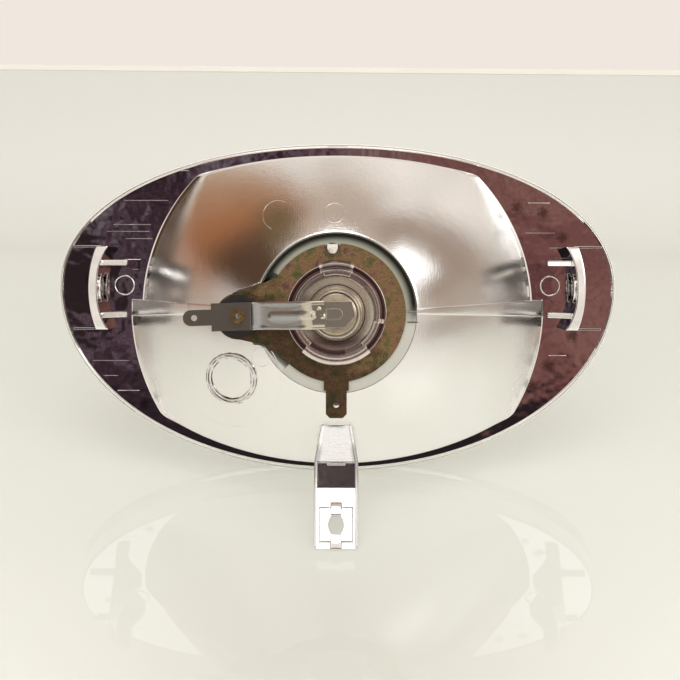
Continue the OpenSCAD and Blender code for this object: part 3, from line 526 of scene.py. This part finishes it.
def collar_section(a):
    """The bulb's dished collar with its notches, and the skirt round the glass."""
    outer = 12.5
    for start in CLAWS:
        outer = min(outer, 12.5 - 1.4 * inside_span(a, start - TWIST - 1.5, CLAW_WIDTH + 3, 1.5))
    low = 37.05

    def top(r):
        return 37.42 + 0.63 * (r - 8.0) / 4.5

    return [(outer, low + 0.1), (outer, top(outer) - 0.18), (outer - 0.06, top(outer) - 0.05),
            (outer - 0.2, top(outer)), *((r, top(r)) for r in (10.9, 10.2, 9.4, 8.6)), (8.1, 37.5), (7.4, 37.75),
            (7.0, 37.75), (7.0, low + 0.1), (9.25, low + 0.1), (9.25, 33.1), (9.4, 33.05), (10.05, 33.05),
            (10.1, 33.2), (10.1, low), (outer - 0.1, low)]


# The bulb's cap: a flared foot, a straight side with a groove, and a rolled lip
CAP = [(7.85, 38.05), (8.2, 38.07), (8.3, 38.15), (8.25, 38.3), (8.0, 38.5), (7.75, 38.75), (7.5, 39.3),
       (7.35, 40.2), (7.3, 42.0), (7.22, 46.0), (7.16, 49.2), (7.2, 49.6), (7.17, 50.1), (7.08, 50.42),
       (6.93, 50.6), (6.75, 50.65), (6.6, 50.6), (6.52, 50.45), (6.5, 50.2), (6.5, 49.9), (6.6, 46.0),
       (6.8, 40.5), (7.0, 39.05)]


def along_strip(x, y, z):
    """A point given along the contact, from its rivet, placed in the drawing."""
    return (*turned(x - EAR_REACH, y), z)


def contact_strip():
    """The sprung strip: an S-curve with raised edges and a bead along its middle."""
    start_x, start_z = 4.3, 39.95
    length, rise = EAR_REACH - 3.4 - start_x, TONGUE_Z + 0.75 - start_z
    half = [0.4, 0.8, 1.1, 1.5, 2.4, 3.2, 3.6, 3.9, 4.1, 4.2]
    across = [-v for v in reversed(half)] + [0.0] + half
    risen, half_thick, rim = 0.86, 0.25, 3.2  # share of the length that rises, and where the edges start
    points, steps = [], 90
    for i in range(steps + 1):
        s = i / steps
        x = start_x + length * s
        turn = math.pi * min(1.0, s / risen)
        z = start_z + rise * (1 - math.cos(turn)) / 2
        slope = rise / 2 * math.pi / risen / length * math.sin(turn) if s < risen else 0.0
        norm = math.hypot(1, slope)
        up = (-slope / norm, 1 / norm)
        bead_share = inside_span(s * 100, 25, 61, 6)
        for v in across:
            lift = half_thick + 0.4 * bead_share * max(0.0, 1 - (v / 1.15) ** 2) ** 0.7
            if abs(v) > rim:
                lift += 0.16 * math.sin(math.pi * min(1.0, (abs(v) - rim) / 0.9))
            if abs(v) > 4.15:
                lift = 0.1
            points.append(along_strip(x + up[0] * lift, v, z + up[1] * lift))
        for v in reversed(across):
            points.append(along_strip(x - up[0] * half_thick, v * 0.985, z - up[1] * half_thick))
    return solid("strip", points, tube_faces(steps + 1, 2 * len(across)), sharp=50)


def tongue_parts():
    """The tongue on the bulb's end contact: a plate with a cut corner, a pressed frame and two dimples."""
    plate = [(-6.0, 3.9), (4.7, 3.9), (5.7, -0.4), (2.6, -3.9), (-6.0, -3.9)]
    top = TONGUE_Z + 0.5
    made = [upright("tongue_plate", TONGUE_Z, top, plate, 0.12, 30)]
    outer = [(-2.9, 1.7), (1.0, 1.7), (1.9, 0.8), (1.9, -0.6), (1.0, -1.6), (-2.9, -1.6)]
    inner = [(-2.5, 1.3), (0.85, 1.3), (1.5, 0.65), (1.5, -0.5), (0.85, -1.2), (-2.5, -1.2)]
    pressed = upright("pressed_frame", top - 0.1, top + 0.28, outer, 0.12, 30)
    made.append(carve(pressed, upright("frame_room", top + 0.12, top + 1, inner, 0)))
    for x, y, r in ((-5.0, 1.7, 0.95), (-3.9, -0.4, 1.15)):
        dome = [(r * math.cos(a) + 0.01, r * 0.75 * math.sin(a)) for a in np.linspace(0, math.pi / 2, 7)]
        section = [(r, -0.2)] + dome + [(0.01, -0.2)]
        points = [(x + q * c, y + q * s, top + h) for c, s in circle(1, 24) for q, h in section]
        made.append(solid("dimple", points, grid_faces(24, 9), sharp=60))
    return made


# The bulb's end contact, a low dome that nearly fills the lip
TIP = [(0.02, 49.9), (6.3, 49.9), (6.3, 50.35), (6.2, 50.5), (6.0, 50.62), (5.6, 50.74), (5.0, 50.88),
       (4.2, 51.02), (3.2, 51.15), (2.2, 51.24), (1.1, 51.29), (0.02, 51.3)]
tip = revolved("tip_visual", TIP, 96)
shelf = [(10.9, PLATE_Z + 0.002), (10.9, PLATE_Z + 0.035), (12.8, PLATE_Z + 0.035), (12.8, PLATE_Z + 0.002)]
ring = join("ring_visual", [revolved("ring", ring_section, 720)] + [claw(a) for a in CLAWS]
            + [revolved("shelf", shelf, 96)])
collar = revolved("collar_visual", collar_section, 720)
cap = revolved("cap_visual", CAP, 192)
strip = contact_strip()
strip.name = "strip_visual"
tongue = join("tongue_visual", tongue_parts())
lens = lens_visual()
dressed = []
for made, body, slot_name, *replaced in (
        (reflector, "lamp", "plated_plastic", "reflector", "bulb_seat"),
        (lugs, "lamp", "plated_plastic", "pivot_lugs"), (lens, "lamp", "lens_glass", "lens"),
        (ring, "carrier", "nickel_steel", "socket_ring"), (collar, "bulb", "bulb_cap", "bulb_collar"),
        (cap, "bulb", "bulb_cap", "bulb_shell"), (tip, "bulb", "bright_steel", "bulb_tip"),
        (strip, "contact_arm", "contact_steel", "contact_spring"),
        (tongue, "contact_arm", "contact_steel", "contact_tongue")):
    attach(made, body)
    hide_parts(*replaced)
    dressed.append((made, slot_name))


class Graph:
    """The nodes of a material or a world, with short calls for the kinds that are used here."""

    def __init__(self, tree):
        self.nodes, self.links = tree.nodes, tree.links

    def put(self, socket, value):
        """Gives a socket another socket's output, a number, a point or a colour."""
        if isinstance(value, bpy.types.NodeSocket):
            self.links.new(value, socket)
        elif isinstance(value, tuple):
            socket.default_value = (*value, 1)[:len(socket.default_value)]
        else:
            socket.default_value = value

    def node(self, kind, inputs, output=0, **settings):
        """A new node with its settings and inputs, as one of its outputs."""
        made = self.nodes.new("ShaderNode" + kind)
        for key, value in settings.items():
            setattr(made, key, value)
        for key, value in inputs.items():
            self.put(made.inputs[key], value)
        return made.outputs[output]

    def math(self, operation, *values):
        return self.node("Math", dict(enumerate(values)), operation=operation)

    def fold(self, operation, values):
        """One result of several values, two at a time."""
        result = values[0]
        for value in values[1:]:
            result = self.math(operation, result, value)
        return result

    def plus(self, *values):
        return self.fold("ADD", values)

    def times(self, *values):
        return self.fold("MULTIPLY", values)

    def most(self, values):
        return self.fold("MAXIMUM", values)

    def minus(self, a, b):
        return self.math("SUBTRACT", a, b)

    def size(self, value):
        return self.math("ABSOLUTE", value)

    def within(self, value, low, high, soft):
        """1 in a range, fading over both borders."""
        return self.times(self.rise(value, low - soft, low + soft), self.fall(value, high - soft, high + soft))

    def inverse(self, value):
        return self.minus(1.0, value)

    def rise(self, value, low, high):
        """0 below low and 1 above high, smooth in between."""
        return self.node("MapRange", {"Value": value, "From Min": low, "From Max": high},
                         interpolation_type="SMOOTHSTEP")

    def fall(self, value, low, high):
        """1 below low and 0 above high, smooth in between."""
        return self.inverse(self.rise(value, low, high))

    def spread(self, value, low, high):
        """A value from 0 to 1 mapped to a range."""
        return self.node("MapRange", {"Value": value, "To Min": low, "To Max": high})

    def mix(self, factor, a, b, blend="MIX"):
        """A mixture of two colours."""
        return self.node("Mix", {"Factor": factor, 6: a, 7: b}, 2, data_type="RGBA", blend_type=blend)

    def noise(self, vector, scale, detail=4.0, roughness=0.55):
        return self.node("TexNoise", {"Vector": vector, "Scale": scale, "Detail": detail,
                                      "Roughness": roughness}, "Fac")

    def scaled(self, vector, scale):
        return self.node("Mapping", {"Vector": vector, "Scale": scale})

    def split(self, vector):
        """The three coordinates of a vector."""
        return self.node("SeparateXYZ", {"Vector": vector}, slice(None))

    def ramp(self, value, stops):
        """Colours along a value from 0 to 1."""
        node = self.nodes.new("ShaderNodeValToRGB")
        band = node.color_ramp
        band.elements.remove(band.elements[-1])
        band.elements[0].position = stops[0][0]
        band.elements[0].color = (*stops[0][1], 1)
        for position, colour in stops[1:]:
            band.elements.new(position).color = (*colour, 1)
        self.put(node.inputs["Fac"], value)
        return node.outputs["Color"]

    def tones(self, value, dark, light, low=0.3, high=0.7):
        """Two tones of a colour along a value."""
        return self.ramp(value, [(low, dark), (high, light)])

    def bump(self, height, distance, normal=None):
        """A normal from a height, on top of another normal where one is given."""
        inputs = {"Height": height, "Distance": distance, "Strength": 1.0}
        if normal is not None:
            inputs["Normal"] = normal
        return self.node("Bump", inputs)


class Look(Graph):
    """A new material with its shader and its object coordinates."""

    def __init__(self, name, metallic=0.0):
        self.material = bpy.data.materials.new(name)
        self.material.use_nodes = True
        super().__init__(self.material.node_tree)
        self.shader = self.nodes["Principled BSDF"]
        self.shader.inputs["Metallic"].default_value = metallic
        self.place = self.node("TexCoord", {}, "Object")

    def drawing(self):
        """The drawing's coordinates in millimetres: X to the right, Y up, Z out of the flange."""
        drawn = self.node("Mapping", {"Vector": self.place, "Location": tuple(STAND), "Scale": (0.001,) * 3,
                                      "Rotation": (math.pi / 2 - LEAN, 0, 0)}, vector_type="TEXTURE")
        return drawn, *self.split(drawn)

    def away(self, x, y, cx=0.0, cy=0.0):
        """Distance from a point of the drawing, across the drawing."""
        flat = self.node("CombineXYZ", {"X": x, "Y": y})
        return self.node("VectorMath", {0: flat, 1: (cx, cy, 0)}, "Value", operation="DISTANCE")

    def paint(self, colour, roughness, normal=None):
        """Gives the shader its colour, roughness and normal, and returns the material."""
        self.put(self.shader.inputs["Base Color"], colour)
        self.put(self.shader.inputs["Roughness"], roughness)
        if normal is not None:
            self.put(self.shader.inputs["Normal"], normal)
        return self.material


# Spots on the flange that the plating has lost its shine on: x, y and size
STAINS = ((65.7, 31.1, 2.2), (72.1, 23.4, 2.0), (57.4, 33.0, 2.2), (75.3, -8.1, 2.2), (67.9, -17.7, 2.4),
          (62.5, -24.1, 1.8), (-79, 10, 2.0), (-62, -30, 2.0))
KEY_MIDDLE = (-1.2, 18.2)  # the seat's key


def chrome(name):
    """Bright plating: fine grain on the bowls, a duller, rougher bulb seat toned with painted shade, hairlines on
    the flange.
    """
    look = Look(name, 1)
    times, most, rise, fall, noise = look.times, look.most, look.rise, look.fall, look.noise
    drawn, x, y, z = look.drawing()
    radius = look.away(x, y)
    beside = look.size(x)
    upper = rise(y, -4.0, 3.0)
    raised = rise(z, 1.2, 2.0)
    flange = look.inverse(raised)
    bowl = times(raised, fall(beside, 65.6, 66.4))
    seat = times(fall(radius, 23.9, 24.3), fall(z, 36.6, 37.0))

    grain = noise(drawn, 2.6, 3, 0.6)
    weave = look.plus(*(noise(look.scaled(drawn, size), 1.0, 3) for size in ((0.25, 3.2, 3.2), (3.2, 0.25, 0.25))))
    hair = noise(look.scaled(drawn, (0.035, 1.9, 1.9)), 1.0, 2)
    hairline = times(flange, rise(hair, 0.735, 0.75), fall(hair, 0.75, 0.77))

    plating = look.mix(hairline, look.tones(grain, (0.87, 0.855, 0.84), (0.95, 0.94, 0.925)), (1.0, 1.0, 1.0))
    # The seat's tone, with painted shade: darker over its upper half and near black towards its wall there.
    seat_tone_and_shade = look.mix(times(upper, rise(radius, 21.0, 23.4)),
                     look.mix(upper, (0.83, 0.84, 0.78), (0.64, 0.67, 0.58)), (0.035, 0.035, 0.03))
    clean = look.mix(seat, plating, seat_tone_and_shade)

    # Darker places: broken rings round the knock-out and stains, and painted shade on the lugs' walls, the arm's
    # cheeks and the lower bowl
    normal = look.node("NewGeometry", {}, "Normal")
    backwards = (0, -math.cos(LEAN), math.sin(LEAN))
    facing = look.node("VectorMath", {0: normal, 1: backwards}, "Value", operation="DOT_PRODUCT")
    # Painted shade on the lugs' side walls, on faces that do not face the rear
    wall = times(fall(facing, 0.12, 0.45), rise(beside, 63.0, 66.0))
    from_ring = look.away(x, y, *KNOCK_OUT)
    lines = most([fall(look.size(look.minus(from_ring, r)), width * 0.5, width)
                  for r, width in ((8.0, 0.22), (7.22, 0.2), (6.3, 0.22))])
    lines = times(lines, rise(noise(drawn, 0.33, 3, 0.6), 0.38, 0.60))
    uneven = times(noise(drawn, 0.9, 3, 0.6), 3.4)
    stains = most([times(fall(look.plus(look.away(x, y, cx, cy), uneven), size, size + 2.2), flange)
                   for cx, cy, size in STAINS])
    # Painted shade along the sides of the arm's closed top
    half_width = look.plus(4.6, times(look.plus(y, 34.5), -0.185))
    cheek = times(rise(look.minus(beside, half_width), -2.3, -0.7), fall(beside, 7.0, 7.2),
                  rise(z, 31.5, 32.5), fall(y, -40.5, -37.0))
    # Painted shade over the lower half bowl
    lower = times(bowl, look.inverse(upper))
    shaded = most([times(wall, 0.76), times(lines, 0.85), times(stains, 0.62), times(cheek, 0.55),
                   times(lower, 0.10)])
    notch = times(seat, fall(look.away(x, y, *KEY_MIDDLE), 2.9, 3.1))
    colour = look.mix(notch, look.mix(shaded, clean, (0.10, 0.08, 0.085)), (0.27, 0.20, 0.13))

    rough = look.plus(0.035, times(bowl, look.spread(noise(drawn, 0.12, 4), 0.06, 0.15)))
    ends = times(bowl, rise(beside, 42.0, 58.0))
    for area, amount in ((seat, 0.42), (hairline, 0.22), (ends, 0.09)):
        rough = look.plus(rough, times(area, amount))

    wavy = look.bump(noise(drawn, 0.06, 3), 0.00015)
    textured = look.bump(times(bowl, look.plus(weave, times(grain, 0.4))), 0.000026, wavy)
    return look.paint(colour, rough, look.bump(hairline, 0.00003, textured))


def passivated(name):
    """Gold, olive and purple passivation, speckled, with painted shade that darkens it towards the lower left."""
    look = Look(name, 0.7)
    drawn, x, y, _ = look.drawing()
    patches = look.noise(drawn, 0.30, 5, 0.6)
    speckle = look.noise(drawn, 2.0, 4, 0.7)
    gold = look.ramp(patches, [
        (0.34, (0.11, 0.12, 0.05)), (0.42, (0.19, 0.15, 0.06)), (0.48, (0.27, 0.18, 0.085)),
        (0.56, (0.30, 0.17, 0.09)), (0.66, (0.17, 0.09, 0.085))])
    dark = look.ramp(patches, [
        (0.34, (0.045, 0.05, 0.02)), (0.46, (0.085, 0.055, 0.025)), (0.56, (0.12, 0.068, 0.033)),
        (0.66, (0.075, 0.04, 0.035))])
    # Painted shade: a darker copy of the tones, blended in towards the lower left
    slope = look.plus(look.times(x, 0.010), look.times(y, 0.016))
    shade = look.rise(look.minus(look.noise(drawn, 0.22, 4, 0.6), slope), 0.42, 0.85)
    specks = look.ramp(speckle, [(0.36, (0.45,) * 3), (0.5, (0.95,) * 3), (0.64, (1.0,) * 3)])
    return look.paint(look.mix(1.0, look.mix(shade, gold, dark), specks, "MULTIPLY"),
                      look.spread(look.noise(drawn, 4.5, 3, 0.6), 0.26, 0.5), look.bump(speckle, 0.00006))


def bulb_metal(name, light, shade, band, low_end=None, bridge=None):
    """Metal round the bulb: shaded in a band of radii and, where given, at its lower edge or its bridge."""
    look = Look(name, 0.9)
    drawn, x, y, z = look.drawing()
    radius = look.away(x, y)
    low, high = band
    shaded = [look.times(look.rise(radius, low, low + 0.1), look.fall(radius, high - 0.1, high),
                         look.fall(z, 38.0, 38.2))]
    if bridge is not None:
        middle = look.fall(look.size(x), bridge - 0.8, bridge + 0.4)
        shaded.append(look.times(middle, look.rise(y, 12.6, 13.4), 0.72))
    if low_end is not None:
        shaded.append(look.times(look.fall(y, low_end - 3.5, low_end), look.fall(z, 38.2, 38.6), 0.8))
    fine = look.noise(drawn, 1.3, 4, 0.6)
    clean = look.tones(fine, tuple(c * 0.92 for c in light), light, 0.35, 0.65)
    return look.paint(look.mix(look.most(shaded), clean, shade), look.spread(fine, 0.12, 0.24),
                      look.bump(fine, 0.00001))


def olive_steel(name):
    """Sprung steel: grey strip, olive tongue and, beyond the strip's start, a browner terminal."""
    look = Look(name, 0.85)
    drawn, x, _, z = look.drawing()
    fine = look.noise(look.scaled(drawn, (0.5, 4.0, 1.0)), 1.6, 3, 0.5)
    olive, grey, brown = (look.tones(fine, dark, light, 0.35, 0.65) for dark, light in (
        ((0.58, 0.54, 0.44), (0.63, 0.59, 0.49)), ((0.37, 0.37, 0.365), (0.42, 0.42, 0.415)),
        ((0.29, 0.26, 0.21), (0.33, 0.295, 0.24))))
    on_strip = look.times(look.rise(x, -26.5, -25.0), look.fall(z, 51.0, 51.6))
    colour = look.mix(look.rise(x, -26.0, -25.5), brown, look.mix(on_strip, olive, grey))
    return look.paint(colour, look.spread(fine, 0.13, 0.20), look.bump(fine, 0.0000012))


def by_height(name, metallic, scale, change, below, above, rough):
    """Two pairs of tones that change over a range of heights above the flange."""
    look = Look(name, metallic)
    drawn, _, _, z = look.drawing()
    fine = look.noise(drawn, scale, 4)
    return look.paint(look.mix(look.rise(z, *change), look.tones(fine, *below), look.tones(fine, *above)),
                      look.spread(fine, *rough), look.bump(fine, 0.00001))


def plain(name, metallic, dark, light, rough, scale, depth):
    """One material in two close tones."""
    look = Look(name, metallic)
    fine = look.noise(look.place, scale, 4)
    return look.paint(look.tones(fine, dark, light), look.spread(fine, *rough), look.bump(fine, depth))


def glass(name, colour, rough, depth, rim=None):
    """Clear glass, with a paler ground rim above a height of the drawing where rim gives one."""
    look = Look(name)
    look.shader.inputs["IOR"].default_value = 1.5
    fine = look.noise(look.place, 60, 3)
    tint = look.tones(fine, colour, tuple(min(1, c * 1.03) for c in colour))
    roughness, clear = look.spread(fine, *rough), 1.0
    if rim is not None:
        _, _, _, z = look.drawing()
        ground = look.rise(z, rim, rim + 1.5)
        tint = look.mix(ground, tint, (0.94, 0.91, 0.86))
        roughness = look.plus(roughness, look.times(ground, 0.3))
        clear = look.inverse(look.times(ground, 0.9))
    look.put(look.shader.inputs["Transmission Weight"], clear)
    return look.paint(tint, roughness, look.bump(fine, depth))


looks = {name: make(name, *settings) for name, make, *settings in (
    ("plated_plastic", chrome),
    ("lens_glass", glass, (0.90, 0.95, 0.93), (0.02, 0.06), 0.00003, -7.0),
    ("sealant", plain, 0, (0.03,) * 3, (0.06,) * 3, (0.5, 0.7), 500, 0.00002),
    ("bright_steel", by_height, 1, 0.8, (48.0, 49.0), ((0.86,) * 3, (0.95,) * 3),
     ((0.34, 0.28, 0.21), (0.46, 0.39, 0.30)), (0.16, 0.3)),
    ("passivated_steel", passivated),
    ("nickel_steel", bulb_metal, (0.74, 0.65, 0.60), (0.10, 0.055, 0.055), (13.1, 14.9), None, 4.6),
    ("contact_steel", olive_steel),
    ("brass", plain, 1, (0.32, 0.20, 0.07), (0.50, 0.33, 0.15), (0.2, 0.35), 600, 0.00001),
    ("black_insulator", by_height, 0, 1.1, (44.0, 44.5), ((0.006,) * 3, (0.013, 0.012, 0.012)),
     ((0.20, 0.15, 0.11), (0.26, 0.20, 0.15)), (0.25, 0.42)),
    ("bulb_cap", bulb_metal, (0.62, 0.56, 0.48), (0.20, 0.13, 0.12), (8.4, 8.75), -5.5),
    ("bulb_glass", glass, (0.97, 0.99, 0.99), (0.0, 0.02), 0.00001),
    ("lead_wire", plain, 1, (0.4,) * 3, (0.6,) * 3, (0.3, 0.4), 600, 0.00001))}
solids = [(frame["nodes"][entry["node"]], entry["material_slot"]) for entry in frame["record"]["subparts"]]
for made, slot_name in solids + dressed:
    made.data.materials.clear()
    made.data.materials.append(looks[slot_name])
for made, _ in dressed:
    made.modifiers.new("flat_faces", "WEIGHTED_NORMAL").keep_sharp = True

# Small rounded edges on the metal pieces, so that they catch the light
for node_name, width in (("adjuster_clip", 0.08), ("holder_plate", 0.12), ("contact_terminal", 0.08),
                         ("contact_rivet", 0.1), ("tongue_rivet", 0.08), ("contact_insulator", 0.15)):
    cad = frame["nodes"][node_name]
    rounding = cad.modifiers.new("edges", "BEVEL")
    rounding.width, rounding.segments = width / 1000, 2
    rounding.limit_method, rounding.angle_limit = "ANGLE", math.radians(35)
    rounding.harden_normals = True
    for poly in cad.data.polygons:
        poly.use_smooth = True


def tone(r, g, b):
    """A colour given as on a screen, from 0 to 255, in the renderer's own scale."""
    return tuple(((v / 255 + 0.055) / 1.055) ** 2.4 for v in (r, g, b))


def sheet(name, back, z, half_width, length, material):
    """A level rectangle of the table, from its back edge towards the camera."""
    turn = math.radians(-1.5)
    across = Vector((math.cos(turn), math.sin(turn), 0)) * half_width
    inwards = Vector((math.sin(turn), -math.cos(turn), 0)) * length
    middle = Vector((0, back, z))
    corners = (middle - across, middle + across, middle + across + inwards, middle - across + inwards)
    mesh = bpy.data.meshes.new(name)
    mesh.from_pydata([tuple(c) for c in corners], [], [(3, 2, 1, 0)])
    mesh.materials.append(material)
    add(name, mesh)


def pale_lit_towards_viewer(look, scale):
    """A pale grey-green, with painted light that makes it lighter towards the viewer."""
    fine = look.noise(look.place, scale, 3)
    near = look.tones(fine, (0.865, 0.88, 0.85), (0.895, 0.91, 0.88))
    far = look.tones(fine, (0.73, 0.75, 0.72), (0.76, 0.78, 0.75))
    # Painted light: lighter near the viewer, darker further back
    return look.mix(look.rise(look.split(look.place)[1], -0.10, 0.42), near, far)


def table_glass():
    """Clear glass with a faint film and a fine mirror on its upper side."""
    look = Look("table_glass")
    look.paint(pale_lit_towards_viewer(look, 3), 0.5)
    clear = look.node("BsdfTransparent", {"Color": (0.97, 0.985, 0.965)})
    mirror = look.node("BsdfGlossy", {"Roughness": 0.012})
    edge_on = look.node("Fresnel", {"IOR": 1.5})
    back = look.node("NewGeometry", {}, "Backfacing")
    share = look.plus(look.times(edge_on, 0.62, look.inverse(back)), look.times(back, 0.05))
    film = look.node("MixShader", {"Fac": 0.25, 1: clear, 2: look.shader.outputs["BSDF"]})
    look.put(look.nodes["Material Output"].inputs["Surface"],
             look.node("MixShader", {"Fac": share, 1: film, 2: mirror}))
    return look.material


def table_top():
    """A glass table top with its lighter back edge, over a pale board."""
    board, edge = Look("table_board"), Look("table_edge")
    pale = edge.tones(edge.noise(edge.place, 30, 3), (0.78, 0.78, 0.71), (0.83, 0.83, 0.76))
    sheet("table_plate", 0.4665, 0.0, 1.5, 2.2, table_glass())
    sheet("table_board", 0.876, -0.12, 2.6, 3.6, board.paint(pale_lit_towards_viewer(board, 2.5), 0.9))
    sheet("table_edge", 0.468, 0.0004, 1.5, 0.010, edge.paint(pale, 0.5))


def studio():
    """Soft surroundings that the plating mirrors, by direction, and a wide lamp overhead."""
    world = bpy.data.worlds.new("studio")
    bpy.context.scene.world = world
    world.use_nodes = True
    sky = Graph(world.node_tree)
    sky.nodes.clear()
    times, rise, fall, mix, noise = sky.times, sky.rise, sky.fall, sky.mix, sky.noise
    direction = sky.node("TexCoord", {}, "Generated")
    x, y, z = sky.split(direction)
    degrees = 180 / math.pi
    # Azimuth is 0 behind the camera and grows to the right
    azimuth = times(sky.math("ARCTAN2", x, times(y, -1.0)), degrees)
    elevation = times(sky.math("ARCSINE", z), degrees)

    def zone(left, right, low, high, soft, soft_up=None):
        """1 inside a range of azimuth and elevation, in degrees, fading over its borders."""
        return times(sky.within(azimuth, left, right, soft), sky.within(elevation, low, high, soft_up or soft))

    colour = mix(rise(elevation, 52, 72), tone(240, 231, 222), tone(190, 172, 156))
    beside = times(rise(sky.size(azimuth), 46, 62), fall(elevation, 2, 14))
    orange = mix(rise(azimuth, -140, -112), tone(178, 146, 120), tone(160, 106, 72))

    # The clothes behind the camera, dark below, with a thread pattern
    threads = [noise(sky.scaled(direction, size), 1.0, 2) for size in ((200, 200, 40), (50, 50, 220))]
    cloth = sky.plus(times(noise(sky.scaled(direction, (22, 22, 16)), 1.0, 3, 0.5), 0.6),
                     times(sky.plus(*threads), 0.2))
    left = sky.ramp(cloth, [(0.40, tone(40, 28, 33)), (0.46, tone(64, 46, 54)), (0.51, tone(88, 70, 79)),
                            (0.56, tone(98, 92, 98)), (0.62, tone(120, 118, 120))])
    left = mix(zone(-30, -7.4, 19.7, 22.5, 0.3), left, tone(42, 31, 33))
    right = sky.ramp(cloth, [(0.38, tone(84, 54, 58)), (0.46, tone(112, 72, 70)), (0.54, tone(126, 86, 80)),
                             (0.64, tone(140, 104, 98))])
    clothes = mix(rise(elevation, 16.9, 18.6), tone(38, 31, 35), mix(rise(azimuth, -3, 4), left, right))

    for area, seen in (
            (beside, tone(186, 173, 160)),
            # left: an orange patch, a dark corner and an olive one above it
            (zone(-141, -93, 4, 68, 10, 12), orange),
            (zone(-105, -55, 13, 52, 9, 7), tone(86, 63, 48)),
            (zone(-122, -76, 46, 66, 8), tone(112, 92, 66)),
            # right: a grey-brown patch, the window beside it with its dimmer sill, and a lamp
            (zone(70, 113, 6, 66, 8, 9), tone(162, 143, 128)),
            (zone(66, 88, 24, 50, 4), (1.7, 1.68, 1.66)),
            (zone(60, 77, 24, 31.6, 1.2, 0.8), (1.0, 0.98, 0.96)),
            (zone(32, 62, 22, 42, 5), (3.0, 2.95, 2.85)),
            # middle: the overhead soft box, the clothes and the pale wall over them
            (zone(-46, 46, 64, 83, 5), (2.6, 2.6, 2.6)),
            (zone(-12, 12, 3, 33, 2, 3), clothes),
            (zone(-14, 14, 40, 54, 3), (1.15, 1.14, 1.09))):
        colour = mix(area, colour, seen)
    mottle = sky.node("TexNoise", {"Vector": direction, "Scale": 4.5, "Detail": 5}, "Fac")
    shade = sky.node("MapRange", {"Value": mottle, "From Min": 0.3, "From Max": 0.7, "To Min": 0.86, "To Max": 1.12})
    lit = sky.node("Background", {"Color": colour, "Strength": shade})
    backdrop = sky.node("Background", {"Color": tone(240, 231, 223)})
    by_camera = sky.node("LightPath", {}, "Is Camera Ray")
    sky.node("OutputWorld", {"Surface": sky.node("MixShader", {"Fac": by_camera, 1: lit, 2: backdrop})}, slice(None))

    lamp = bpy.data.lights.new("overhead", "AREA")
    lamp.shape = "RECTANGLE"
    lamp.size, lamp.size_y = 1.8, 1.8
    lamp.energy = 27
    holder = add("overhead", lamp)
    holder.location = (0, -0.8, 1.7)
    holder.rotation_euler = (math.radians(20), 0, 0)
    holder.visible_glossy = False


table_top()
studio()

# Camera behind the lamp, a little above its axis
eye = row([(3.8, 15.7, 600)])[0]
pitch, yaw = LEAN + math.radians(2.42), math.radians(0.302)
look = Vector((-math.sin(yaw) * math.cos(pitch), math.cos(yaw) * math.cos(pitch), -math.sin(pitch)))
cam_data = bpy.data.cameras.new("camera")
cam_data.lens = 99.1
cam_data.sensor_width = 36
cam_data.clip_start, cam_data.clip_end = 0.01, 50
camera = add("camera", cam_data)
camera.location = Vector(eye)
camera.rotation_euler = look.to_track_quat("-Z", "Y").to_euler()
bpy.context.scene.camera = camera
bpy.context.scene.view_settings.view_transform = "Standard"
